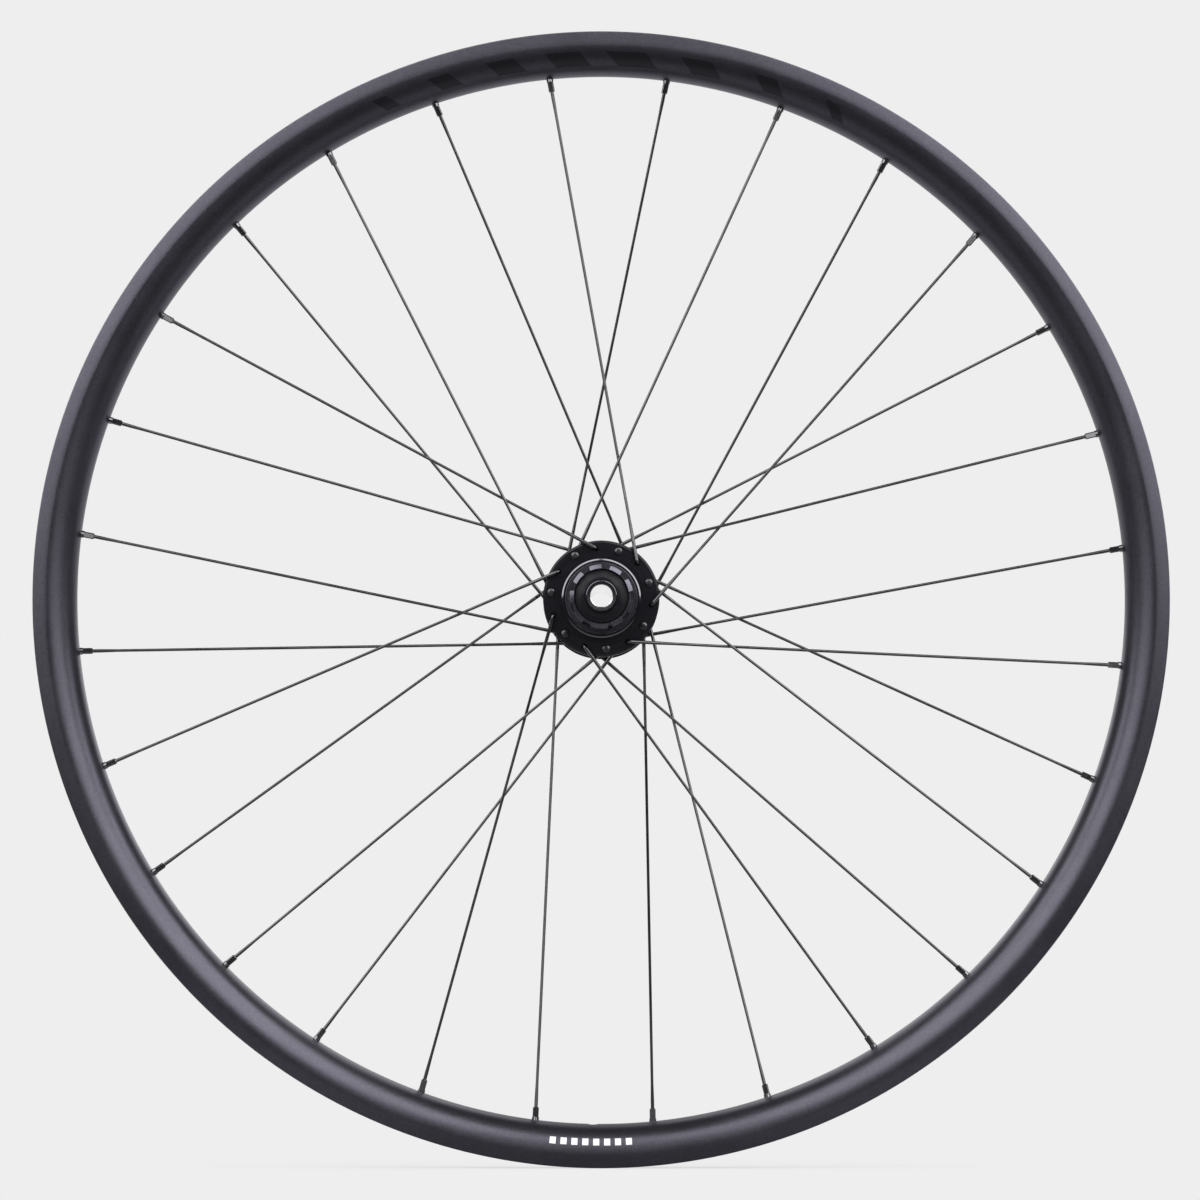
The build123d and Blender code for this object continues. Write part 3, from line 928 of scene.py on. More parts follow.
@dataclass
class Rim:
    """Hollow tubeless rim: round nose, creased side walls, shelves and a centre channel for the tyre."""

    outer_r: float = RIM_OUTER_R
    inner_r: float = RIM_INNER_R
    bead_seat_r: float = 311.0 * MM
    bead_hump: float = 0.5 * MM
    crease_r: float = 309.7 * MM
    crease_blend: float = 2.0 * MM
    nose_power: float = 1.85
    width: float = 31.0 * MM
    edge_inset: float = 0.8 * MM
    edge_chamfer: float = 0.7 * MM
    edge_bulge: float = 0.3
    tyre_width: float = 25.0 * MM
    shelf_width: float = 4.0 * MM
    channel_depth: float = 4.2 * MM
    channel_slope: float = 2.4 * MM
    tyre_bed: float = 1.4 * MM
    side_wall: float = 1.6 * MM
    spoke_bed: float = 2.6 * MM
    hollow_share: float = 0.7
    valve_r: float = 3.25 * MM
    valve_angle: float = 269.1
    nipple_hole_r: float = 2.15 * MM
    access_hole_r: float = 3.2 * MM
    rim_steps: int = 288
    nose_steps: int = 36
    hollow_steps: int = 8
    hole_sides: int = 20
    sharp_angle: float = 28

    def nose(self, inset: float, share: float, steps: int) -> list[Corner]:
        """The nose from one side to the other, as half of a superellipse.

        A power of 2 would make it an oval, and a smaller one makes it leaner.

        Args:
            inset: How far inside the surface it runs.
            share: How much of the half it takes.
            steps: Facets along it.

        Returns:
            Its (radius, y) corners.
        """
        depth = self.crease_r - self.inner_r - inset
        half = self.width / 2 - inset
        bend = 2 / self.nose_power
        corners = []
        for step in range(steps + 1):
            inwards, sideways = polar(1, share * 90 * (1 - 2 * step / steps))
            y = -math.copysign(half * abs(sideways) ** bend, sideways)
            corners.append((self.crease_r - depth * max(inwards, 0) ** bend, y))
        return corners

    def profile(self) -> list[Corner]:
        """The rim's outside.

        Returns:
            The (radius, y) corners of its section.
        """
        edge = self.width / 2 - self.edge_inset
        tyre = self.tyre_width / 2
        shelf = tyre - self.shelf_width
        lip_r = self.outer_r - self.edge_chamfer
        blend = self.crease_blend / (lip_r - self.crease_r)
        bulge = self.edge_chamfer * self.edge_bulge
        wall = [
            (self.crease_r + self.crease_blend, self.width / 2 - blend * self.edge_inset),
            (lip_r, edge),
            (self.outer_r - bulge, edge - bulge),
            (self.outer_r, edge - self.edge_chamfer),
            (self.outer_r, tyre + self.edge_chamfer / 2),
            (self.outer_r - self.edge_chamfer / 2, tyre),
            (self.bead_seat_r, tyre),
            (self.bead_seat_r, shelf + 2 * self.bead_hump),
            (self.bead_seat_r + self.bead_hump, shelf + self.bead_hump),
            (self.bead_seat_r, shelf),
            (self.bead_seat_r - self.channel_depth, shelf - self.channel_slope),
        ]
        mirrored = [(radius, -y) for radius, y in reversed(wall)]
        return [*self.nose(0, 1, self.nose_steps), *wall, *mirrored]

    def cavity(self) -> list[Corner]:
        """The hollow inside the rim.

        Returns:
            The (radius, y) corners of its section.
        """
        tyre = self.tyre_width / 2
        shelf = tyre - self.shelf_width
        shoulder = (self.bead_seat_r - self.tyre_bed, tyre - self.side_wall / 2)
        roof = (self.bead_seat_r - self.channel_depth - self.tyre_bed, shelf - self.channel_slope)
        floor = self.nose(self.spoke_bed, self.hollow_share, self.hollow_steps)
        return [*floor, shoulder, roof, (roof[0], -roof[1]), (shoulder[0], -shoulder[1])]

    def hole_tools(self, lacing: "Lacing") -> Piece:
        """Drills for the valve and for every spoke: nipple hole, seat and the access hole through the tyre bed.

        Args:
            lacing: Where the spokes meet the rim.

        Returns:
            All the drills as one piece.
        """
        stations = (
            (-2 * OVERCUT, self.nipple_hole_r),
            (NIPPLE_SEAT, self.nipple_hole_r),
            (NIPPLE_SEAT, self.access_hole_r),
            (self.outer_r - self.inner_r, self.access_hole_r),
        )
        drills = {
            spoke: bar("drill", spoke.rim_point, spoke.rim_run, stations, self.hole_sides) for spoke in lacing.kinds
        }
        copies = [copy_of(drills[spoke], "drill", about_axle(angle)) for spoke, angle in lacing.places()]
        for drill in drills.values():
            scrap(drill)
        x, z = polar(1, self.valve_angle)
        valve_stations = ((self.inner_r - self.spoke_bed, self.valve_r), (self.outer_r, self.valve_r))
        valve = bar("valve_drill", ORIGIN, Vector((x, 0, z)), valve_stations, 2 * self.hole_sides)
        return gather("rim_drills", [valve, *copies])

    def build(self, lacing: "Lacing") -> Piece:
        """Turn the rim, hollow it and drill it.

        Args:
            lacing: Where the spokes meet the rim.

        Returns:
            The rim.
        """
        rim = turned("rim_shell", self.profile(), self.rim_steps)
        combine(rim, turned("rim_cavity", self.cavity(), self.rim_steps), Cut.TAKE_AWAY)
        combine(rim, self.hole_tools(lacing), Cut.TAKE_AWAY)
        smooth(rim, self.sharp_angle)
        return rim

    def dress(self, rim: Piece, shop: PaintShop) -> None:
        """Finish the rim in blasted black."""
        shop.deliver(rim, RIM_BLACK, "wheel", "rim")


@dataclass(frozen=True)
class Spoke:
    """One kind of spoke, with its rim hole at angle 0.

    Its lean is 1 where the flange hole lies ahead of the rim hole, -1 behind it. A spoke with its elbow outside runs
    over the flange's outer face.
    """

    side: Side
    lean: int
    elbow_outside: bool
    flange_y: float
    spoke_circle_r: float = 28.0 * MM
    lead_angle: float = 360 / 7
    pitch_angle: float = 360 / 28
    butt_r: float = 1.0 * MM
    thin_r: float = 0.8 * MM
    butt_length: float = 16.0 * MM
    thread_butt: float = 4.0 * MM
    taper_length: float = 10.0 * MM
    head_r: float = 2.1 * MM
    head_height: float = 1.25 * MM
    hole_r: float = 1.25 * MM
    elbow_lift: float = 1.0 * MM
    crossing_gap: float = 0.2 * MM
    kink_reach: float = 3.0 * MM
    thread_reach: float = 3.0 * MM
    wire_sides: int = 16
    elbow_steps: int = 8
    sharp_angle: float = 40

    # (share of the height, share of the radius) of the head's domed top
    DOME = ((0.0, 0.45), (0.12, 0.8), (0.4, 1.0), (0.52, 1.0))
    STRAIGHTENED = "straightened"

    @property
    def exit(self) -> int:
        """The way along Y in which the wire leaves its flange."""
        return self.side.value if self.elbow_outside else -self.side.value

    @property
    def seat(self) -> Vector:
        """Where the head's seat meets the middle of the flange hole."""
        x, z = polar(self.spoke_circle_r, self.lean * self.lead_angle)
        return Vector((x, self.flange_y - self.exit * FLANGE_THICKNESS / 2, z))

    @property
    def elbow(self) -> Vector:
        """The corner of the elbow, before it is rounded."""
        return self.seat + AXLE * self.exit * (FLANGE_THICKNESS + self.elbow_lift + self.butt_r)

    @property
    def rim_point(self) -> Vector:
        """Where the wire's line passes through the rim's inner face."""
        return Vector((RIM_INNER_R, 0, 0))

    @property
    def crossing(self) -> Vector:
        """Where the wire ducks behind or over its neighbour at the last crossing.

        Returns:
            The point, half a wire and half a gap from the neighbour's side.
        """
        x, z = polar(self.spoke_circle_r, self.lean * self.lead_angle)
        ray_x, ray_z = polar(1, self.lean * self.pitch_angle)
        run_x = RIM_INNER_R - x
        share = (z * ray_x - x * ray_z) / (run_x * ray_z + z * ray_x)
        duck = self.exit * (2 * self.thin_r + self.crossing_gap) / 2
        return Vector((x + share * run_x, self.flange_y * (1 - share) - duck, z * (1 - share)))

    @property
    def hub_run(self) -> Vector:
        """The wire's direction between elbow and crossing."""
        return (self.crossing - self.elbow).normalized()

    @property
    def rim_run(self) -> Vector:
        """The wire's direction between crossing and rim."""
        return (self.rim_point - self.crossing).normalized()

    def build(self) -> Piece:
        """Extrude the wire from its domed head, spin its elbow and draw it out to its thread.

        Returns:
            The spoke.
        """
        stub = AXLE * self.exit
        head_top = self.seat - stub * self.head_height
        stations = (
            *((height * self.head_height, radius * self.head_r) for height, radius in self.DOME),
            (self.head_height + self.hole_r - self.butt_r, self.butt_r),
            (self.head_height + FLANGE_THICKNESS, self.butt_r),
        )
        wire = begin_bar("spoke", head_top, stub, stations[0][1], self.wire_sides)
        grow_straight(head_top, stub, stations)
        tangent = self.elbow_lift + self.butt_r
        turn = stub.angle(self.hub_run)
        inward = self.hub_run - stub * stub.dot(self.hub_run)
        centre = self.elbow - stub * tangent + inward.normalized() * tangent / math.tan(turn / 2)
        # The spin operator turns against the right-hand rule
        bpy.ops.mesh.spin(steps=self.elbow_steps, angle=-turn, center=centre, axis=stub.cross(inward).normalized())
        thread_start = self.rim_point - self.rim_run * (NIPPLE_EXPOSED + self.thread_butt)
        runs = (
            (self.elbow + self.hub_run * tangent, self.butt_r),
            (self.elbow + self.hub_run * self.butt_length, self.butt_r),
            (self.elbow + self.hub_run * (self.butt_length + self.taper_length), self.thin_r),
            (self.crossing - self.hub_run * self.kink_reach, self.thin_r),
            (self.crossing + self.rim_run * self.kink_reach, self.thin_r),
            (thread_start - self.rim_run * self.taper_length, self.thin_r),
            (thread_start, self.butt_r),
            (self.rim_point + self.rim_run * self.thread_reach, self.butt_r),
        )
        for (here, radius), (there, next_radius) in zip(runs, runs[1:]):
            grow_bar(here, there, next_radius / radius)
        close_up(wire)
        self.straighten(wire)
        smooth(wire, self.sharp_angle)
        return wire

    def on_head(self, face: Face) -> bool:
        """Whether a face lies on the head, behind its seat."""
        return (face.center.y - self.seat.y) * self.exit < 0

    def straighten(self, wire: Piece) -> None:
        """Store each point's place on the straightened wire: two across it and one along it.

        Args:
            wire: The spoke.
        """
        along = self.rim_run
        across = along.cross(AXLE).normalized()
        over = along.cross(across)
        attribute = wire.data.attributes.new(self.STRAIGHTENED, "FLOAT_VECTOR", "POINT")
        for vertex, stored in zip(wire.data.vertices, attribute.data):
            offset = vertex.co - self.rim_point
            stored.vector = (offset.dot(across), offset.dot(over), offset.dot(along))


@dataclass
class Nipple:
    """Spoke nipple: square drive, round barrel through the rim and a slotted head inside it."""

    barrel_r: float = 2.0 * MM
    bore_r: float = 1.02 * MM
    tip_share: float = 0.72
    tip_slope: float = 0.6 * MM
    flats: float = 3.3 * MM
    collar: float = 1.4 * MM
    head_r: float = 2.9 * MM
    head_height: float = 2.2 * MM
    slot_width: float = 0.9 * MM
    slot_depth: float = 0.8 * MM
    sides: int = 28
    sharp_angle: float = 32

    # (share of the radius, share of the height) of the head's rounded top
    DOME = ((1.0, 0.0), (1.0, 0.45), (0.86, 0.78), (0.6, 1.0))

    def build(self) -> Piece:
        """Turn a nipple along Y from its hub end, mill its flats and saw its slot.

        Returns:
            The nipple, with the middle of its hub end at the origin.
        """
        shoulder = NIPPLE_EXPOSED + NIPPLE_SEAT
        top = shoulder + self.head_height
        nipple = turned("nipple", (
            (self.bore_r, 0),
            (self.tip_share * self.barrel_r, 0),
            (self.barrel_r, self.tip_slope),
            (self.barrel_r, shoulder),
            *((radius * self.head_r, shoulder + height * self.head_height) for radius, height in self.DOME),
            (self.bore_r, top),
        ), self.sides)
        far = 2 * self.barrel_r
        half = self.flats / 2
        start = AXLE * -OVERCUT
        end = AXLE * (NIPPLE_EXPOSED - self.collar)
        for across in (Vector((1, 0, 0)), Vector((0, 0, 1))):
            beside = Vector((across.z, 0, across.x)) * far
            flat_tools = [
                block("flat", across * half - beside + start, across * far + beside + end),
                block("flat", across * -far - beside + start, across * -half + beside + end),
            ]
            combine(nipple, gather("flats", flat_tools), Cut.TAKE_AWAY)
        slot_low = Vector((-self.slot_width / 2, top - self.slot_depth, -far))
        slot_high = Vector((self.slot_width / 2, top + OVERCUT, far))
        combine(nipple, block("slot", slot_low, slot_high), Cut.TAKE_AWAY)
        smooth(nipple, self.sharp_angle)
        return nipple

    def place(self, spoke: Spoke) -> Matrix:
        """Find where a spoke's nipple goes.

        Args:
            spoke: The kind of spoke.

        Returns:
            The matrix that puts the nipple on the spoke's line.
        """
        along = spoke.rim_run
        across = along.cross(AXLE).normalized()
        turn = Matrix((across, along, across.cross(along))).transposed().to_4x4()
        return Matrix.Translation(spoke.rim_point - along * NIPPLE_EXPOSED) @ turn


@dataclass
class Lacing:
    """Twenty-eight spokes and their nipples, laced in groups of four."""

    first_angle: float = 5.65
    groups: int = 7
    drive_flange_y: float = -18.0 * MM
    disc_flange_y: float = 34.0 * MM

    def __post_init__(self) -> None:
        """Set out the four kinds of spoke in their order round the rim."""
        self.kinds = (
            Spoke(Side.DISC, lean=-1, elbow_outside=True, flange_y=self.disc_flange_y),
            Spoke(Side.DRIVE, lean=1, elbow_outside=False, flange_y=self.drive_flange_y),
            Spoke(Side.DISC, lean=1, elbow_outside=False, flange_y=self.disc_flange_y),
            Spoke(Side.DRIVE, lean=-1, elbow_outside=True, flange_y=self.drive_flange_y),
        )

    def places(self, side: Side | None = None) -> list[tuple[Spoke, float]]:
        """List the spokes in their order round the rim.

        Args:
            side: The side to list, or none for both.

        Returns:
            Each spoke's kind and rim angle.
        """
        count = len(self.kinds) * self.groups
        laced = [
            (self.kinds[place % len(self.kinds)], self.first_angle + place * 360 / count) for place in range(count)
        ]
        return [(spoke, angle) for spoke, angle in laced if side in (None, spoke.side)]

    def dress(self, shop: PaintShop) -> None:
        """Build the spokes and nipples, and finish them in black.

        Args:
            shop: Where the finishes come from.
        """
        patterns = {spoke: spoke.build() for spoke in self.kinds}
        nipple = Nipple()
        nipple_pattern = nipple.build()
        for side in Side:
            places = self.places(side)
            for number, (spoke, angle) in enumerate(places, start=1):
                wire = copy_of(patterns[spoke], f"{side.word}_wire_{number:02d}", about_axle(angle))
                shop.deliver(wire, SPOKE_BLACK, "wheel", f"{side.word}_spoke_{number:02d}")
                shop.accent(wire, SPOKE_HEAD, spoke.on_head)
            copies = [
                copy_of(nipple_pattern, "nipple", about_axle(angle) @ nipple.place(spoke)) for spoke, angle in places
            ]
            shop.deliver(gather(f"{side.word}_nipple_set", copies), NIPPLE_BLACK, "wheel", f"{side.word}_nipples")
        for pattern in (*patterns.values(), nipple_pattern):
            scrap(pattern)


@dataclass
class HubShell:
    """One-piece hub shell: ratchet housing, two spoke flanges, waist, rotor mount and bearing seats."""

    lip_r: float = 22.0 * MM
    lip_y: float = -26.6 * MM
    lip_chamfer: float = 0.8 * MM
    lip_slope: float = 0.36 * MM
    ring_seat_r: float = 20.22 * MM
    ring_end_y: float = -18.6 * MM
    flange_r: float = 32.4 * MM
    flange_bevel: float = 1.2 * MM
    neck_r: float = 19.0 * MM
    waist_r: float = 15.5 * MM
    waist_length: float = 20.0 * MM
    waist_steps: int = 10
    bore_r: float = 12.5 * MM
    bearing_seat_r: float = 14.02 * MM
    drive_shoulder_y: float = -9.4 * MM
    disc_shoulder_y: float = 46.4 * MM
    rotor_y: float = 52.2 * MM
    boss_r: float = 27.0 * MM
    boss_height: float = 8.0 * MM
    register_r: float = 17.45 * MM
    end_y: float = 54.7 * MM
    bolt_circle_r: float = 22.0 * MM
    bolt_r: float = 2.1 * MM
    bolt_sides: int = 24
    bolts: int = 6
    spoke_hole_sides: int = 20
    hole_flare: float = 0.15 * MM
    scallop_r: float = 8.5 * MM
    scallop_sides: int = 64
    edge_round: float = 0.35 * MM
    steps: int = 144
    sharp_angle: float = 20

    # How much the lip's chamfer and the rounds beside it face the drive side
    CHAMFER_FACING = (0.5, 0.97)

    def profile(self, lacing: Lacing) -> list[Corner]:
        """The shell's half section, with a waist that flows into its necks.

        Args:
            lacing: Where the flanges are.

        Returns:
            Its (radius, y) corners.
        """
        half = FLANGE_THICKNESS / 2
        drive_in, drive_out = lacing.drive_flange_y + half, lacing.drive_flange_y - half
        disc_in, disc_out = lacing.disc_flange_y - half, lacing.disc_flange_y + half
        boss_y = self.rotor_y - self.boss_height
        slope = (disc_in - drive_in - self.waist_length) / 2
        fall = []
        for step in range(self.waist_steps + 1):
            share = step / self.waist_steps
            ease = 0.5 - 0.5 * math.cos(math.pi * share)
            fall.append((self.neck_r + (self.waist_r - self.neck_r) * ease, drive_in + slope * share))
        rise = [(radius, disc_in + drive_in - y) for radius, y in reversed(fall)]
        return [
            (self.lip_r - self.lip_chamfer, self.lip_y),
            (self.lip_r, self.lip_y + self.lip_slope),
            (self.lip_r, drive_out),
            (self.flange_r - self.flange_bevel, drive_out),
            (self.flange_r, drive_out + self.flange_bevel / 2),
            (self.flange_r, drive_in),
            *fall,
            *rise,
            (self.flange_r, disc_in),
            (self.flange_r, disc_out - self.flange_bevel / 2),
            (self.flange_r - self.flange_bevel, disc_out),
            (self.neck_r, disc_out),
            (self.neck_r, boss_y),
            (self.boss_r, boss_y),
            (self.boss_r, self.rotor_y),
            (self.register_r, self.rotor_y),
            (self.register_r, self.end_y),
            (self.bearing_seat_r, self.end_y),
            (self.bearing_seat_r, self.disc_shoulder_y),
            (self.bore_r, self.disc_shoulder_y),
            (self.bore_r, self.drive_shoulder_y),
            (self.bearing_seat_r, self.drive_shoulder_y),
            (self.bearing_seat_r, self.ring_end_y),
            (self.ring_seat_r, self.ring_end_y),
            (self.ring_seat_r, self.lip_y),
        ]

    def bolt_angles(self, shift: float = 0.0) -> list[float]:
        """The angles of the rotor's bolts, shifted by a share of their pitch."""
        return [(bolt + shift) * 360 / self.bolts for bolt in range(self.bolts)]

    def scallop_tools(self) -> Piece:
        """Cutters for the hollows between the rotor's bolts.

        Returns:
            All the cutters as one piece.
        """
        start = Vector((self.boss_r + self.bolt_r, self.rotor_y - self.boss_height - OVERCUT, 0))
        stations = ((0, self.scallop_r), (self.boss_height + 2 * OVERCUT, self.scallop_r))
        cutter = bar("scallop", start, AXLE, stations, self.scallop_sides)
        return spread(cutter, self.bolt_angles(shift=0.5))

    def flared_drill(self, start: Vector, along: Vector, radius: float, depth: float, sides: int) -> Piece:
        """A drill that flares at both ends of its hole, to break the edges.

        Args:
            start: The middle of the hole's mouth.
            along: The way into the hole.
            radius: The hole's radius.
            depth: The hole's depth.
            sides: Facets round the hole.

        Returns:
            The drill.
        """
        flare = self.hole_flare
        wide = radius + 2 * flare
        stations = ((-flare, wide), (flare, radius), (depth - flare, radius), (depth + flare, wide))
        return bar("drill", start, along, stations, sides)

    def drills(self, lacing: Lacing) -> Piece:
        """Drills for the spoke holes and the rotor's bolt holes.

        Args:
            lacing: Where the spokes leave the flanges.

        Returns:
            All the drills as one piece.
        """
        tools = []
        for spoke, angle in lacing.places():
            along = AXLE * spoke.exit
            drill = self.flared_drill(spoke.seat, along, spoke.hole_r, FLANGE_THICKNESS, self.spoke_hole_sides)
            drill.data.transform(about_axle(angle))
            tools.append(drill)
        bolt_start = Vector((self.bolt_circle_r, self.rotor_y, 0))
        bolt_drill = self.flared_drill(bolt_start, -AXLE, self.bolt_r, self.boss_height, self.bolt_sides)
        return gather("hub_drills", [*tools, spread(bolt_drill, self.bolt_angles())])

    def build(self, lacing: Lacing) -> Piece:
        """Turn the shell, scallop its rotor mount, round its edges and drill it.

        Args:
            lacing: Where the flanges and their spokes are.

        Returns:
            The shell.
        """
        shell = turned("hub_body", self.profile(lacing), self.steps)
        combine(shell, self.scallop_tools(), Cut.TAKE_AWAY)
        round_edges(shell, self.edge_round)
        combine(shell, self.drills(lacing), Cut.TAKE_AWAY)
        smooth(shell, self.sharp_angle)
        return shell

    def dress(self, shell: Piece, shop: PaintShop) -> None:
        """Finish the shell in gloss black, with a bright edge on its lip."""
        shop.deliver(shell, HUB_BLACK, "wheel", "hub_shell")
        shop.accent(shell, HUB_EDGE, self.on_lip_chamfer)

    def on_lip_chamfer(self, face: Face) -> bool:
        """Find the slant of the lip's outer edge.

        Args:
            face: A face of the shell.

        Returns:
            Whether the face lies on it.
        """
        least, most = self.CHAMFER_FACING
        near_end = face.center.y < self.lip_y + self.lip_slope
        near_edge = axle_distance(face) > self.lip_r - self.lip_chamfer
        return near_end and near_edge and least < -face.normal.y < most


@dataclass
class EndCap:
    """End cap: boss on a bearing's inner ring, skirt, hollow dust dish and tip ring with a conical mouth."""

    side: Side
    bearing_y: float
    dish_r: float
    end_y: float = 71.0 * MM
    tip_r: float = 8.5 * MM
    tip_length: float = 4.0 * MM
    boss_r: float = 9.0 * MM
    boss_length: float = 1.8 * MM
    skirt: float = 1.4 * MM
    bore_r: float = 6.05 * MM
    axle_bore_r: float = 6.3 * MM
    socket_r: float = 7.52 * MM
    mouth_r: float = 7.9 * MM
    mouth_depth: float = 0.9 * MM
    dish_hollow: float = 0.8
    dish_steps: int = 12
    edge_round: float = 0.3 * MM
    steps: int = 128
    round_angle: float = 20
    sharp_angle: float = 24

    # How much the walls of the bore and the round of the tip's edge face along the axle
    BORE_FACING = 0.9
    EDGE_FACING = (0.1, 0.98)

    def dish(self) -> list[Corner]:
        """The hollow of the dish, from its tip to its skirt, as a curve that sags from its chord.

        Returns:
            Its (radius, y) corners, as on the disc side.
        """
        tip = Vector((self.tip_r, self.end_y - self.tip_length))
        edge = Vector((self.dish_r, self.bearing_y + self.boss_length + self.skirt))
        pull = tip.lerp(edge, 0.5).lerp(Vector((tip.x, edge.y)), self.dish_hollow)
        curve = []
        for step in range(self.dish_steps + 1):
            share = step / self.dish_steps
            curve.append(tuple(tip.lerp(pull, share).lerp(pull.lerp(edge, share), share)))
        return curve

    def profile(self) -> list[Corner]:
        """The cap's half section.

        Returns:
            Its (radius, y) corners, as on the disc side.
        """
        tip_y = self.end_y - self.tip_length
        skirt_y = self.bearing_y + self.boss_length
        return [
            *self.dish(),
            (self.dish_r, skirt_y),
            (self.boss_r, skirt_y),
            (self.boss_r, self.bearing_y),
            (self.socket_r, self.bearing_y),
            (self.socket_r, tip_y),
            (self.axle_bore_r, tip_y),
            (self.bore_r, self.end_y - self.mouth_depth),
            (self.mouth_r, self.end_y),
            (self.tip_r, self.end_y),
        ]

    def build(self) -> Piece:
        """Turn the cap for its side and round its edges.

        Returns:
            The cap.
        """
        profile = [(radius, self.side.value * y) for radius, y in self.profile()]
        cap = turned(f"{self.side.word}_cap", profile, self.steps)
        round_edges(cap, self.edge_round, self.round_angle)
        smooth(cap, self.sharp_angle)
        return cap

    def dress(self, cap: Piece, shop: PaintShop) -> None:
        """Finish the cap in satin black, with bare metal in its bore and a bright edge round its tip.

        Args:
            cap: The cap.
            shop: Where the finishes come from.
        """
        shop.deliver(cap, CAP_BLACK, "axle", f"end_cap_{self.side.word}")
        shop.accent(cap, AXLE_ALLOY, self.in_bore)
        shop.accent(cap, HUB_EDGE, self.on_tip_edge)

    def in_bore(self, face: Face) -> bool:
        """Find the tip's tapered bore and the round of its edge.

        Args:
            face: A face of the cap.

        Returns:
            Whether the face lies there.
        """
        in_tip = abs(face.center.y) > self.end_y - self.tip_length
        in_bore = axle_distance(face) < self.axle_bore_r + self.edge_round
        return in_tip and in_bore and abs(face.normal.y) < self.BORE_FACING

    def on_tip_edge(self, face: Face) -> bool:
        """Find the rounded outer edge of the tip.

        Args:
            face: A face of the cap.

        Returns:
            Whether the face lies on it.
        """
        least, most = self.EDGE_FACING
        at_end = abs(face.center.y) > self.end_y - 2 * self.edge_round
        at_edge = axle_distance(face) > self.tip_r - 2 * self.edge_round
        return at_end and at_edge and least < abs(face.normal.y) < most


@dataclass
class Pawls:
    """Where the three pawls and their spring sit on the carrier."""

    angles: tuple[float, ...] = (90.0, 210.0, 330.0)
    pivot_r: float = 15.0 * MM
    heel_r: float = 1.6 * MM
    heel_sides: int = 48
    width: float = 5.4 * MM
    middle_y: float = -22.3 * MM
    pocket_x: float = 7.9 * MM
    pocket_fall: float = 1.05 * MM
    pocket_roof: float = 0.3 * MM
    pocket_gap: float = 0.05 * MM
    spring_wire: float = 0.7 * MM
    spring_inner_r: float = 15.88 * MM
    spring_gap: float = 0.02 * MM
    spring_steps: int = 128

    def pocket_tools(self) -> Piece:
        """Cutters for the pawls' pockets: a socket for each heel and a trough for its arm.

        Returns:
            All the cutters as one piece.
        """
        half = self.width / 2 + self.pocket_gap
        low, high = self.middle_y - half, self.middle_y + half
        socket_r = self.heel_r + self.pocket_gap
        floor_z = self.pivot_r - socket_r
        roof_z = CARRIER_R + self.pocket_roof
        corners = ((0, roof_z), (self.pocket_x, roof_z), (self.pocket_x, floor_z - self.pocket_fall), (0, floor_z))
        pocket = prism("pocket", corners, low, high)
        stations = ((0, socket_r), (high - low, socket_r))
        socket = bar("socket", Vector((0, low, self.pivot_r)), AXLE, stations, self.heel_sides)
        combine(pocket, socket, Cut.JOIN)
        # The pattern is drawn at the top of the wheel plane
        return spread(pocket, [angle - 90 for angle in self.angles])

    def spring_groove(self) -> Piece:
        """Cutter for the spring's groove round the carrier.

        Returns:
            The cutter.
        """
        half = self.spring_wire / 2 + self.spring_gap
        low, high = self.middle_y - half, self.middle_y + half
        inner = self.spring_inner_r - self.spring_gap
        outer = CARRIER_R + OVERCUT
        return turned("spring_groove", ((inner, low), (outer, low), (outer, high), (inner, high)), self.spring_steps)


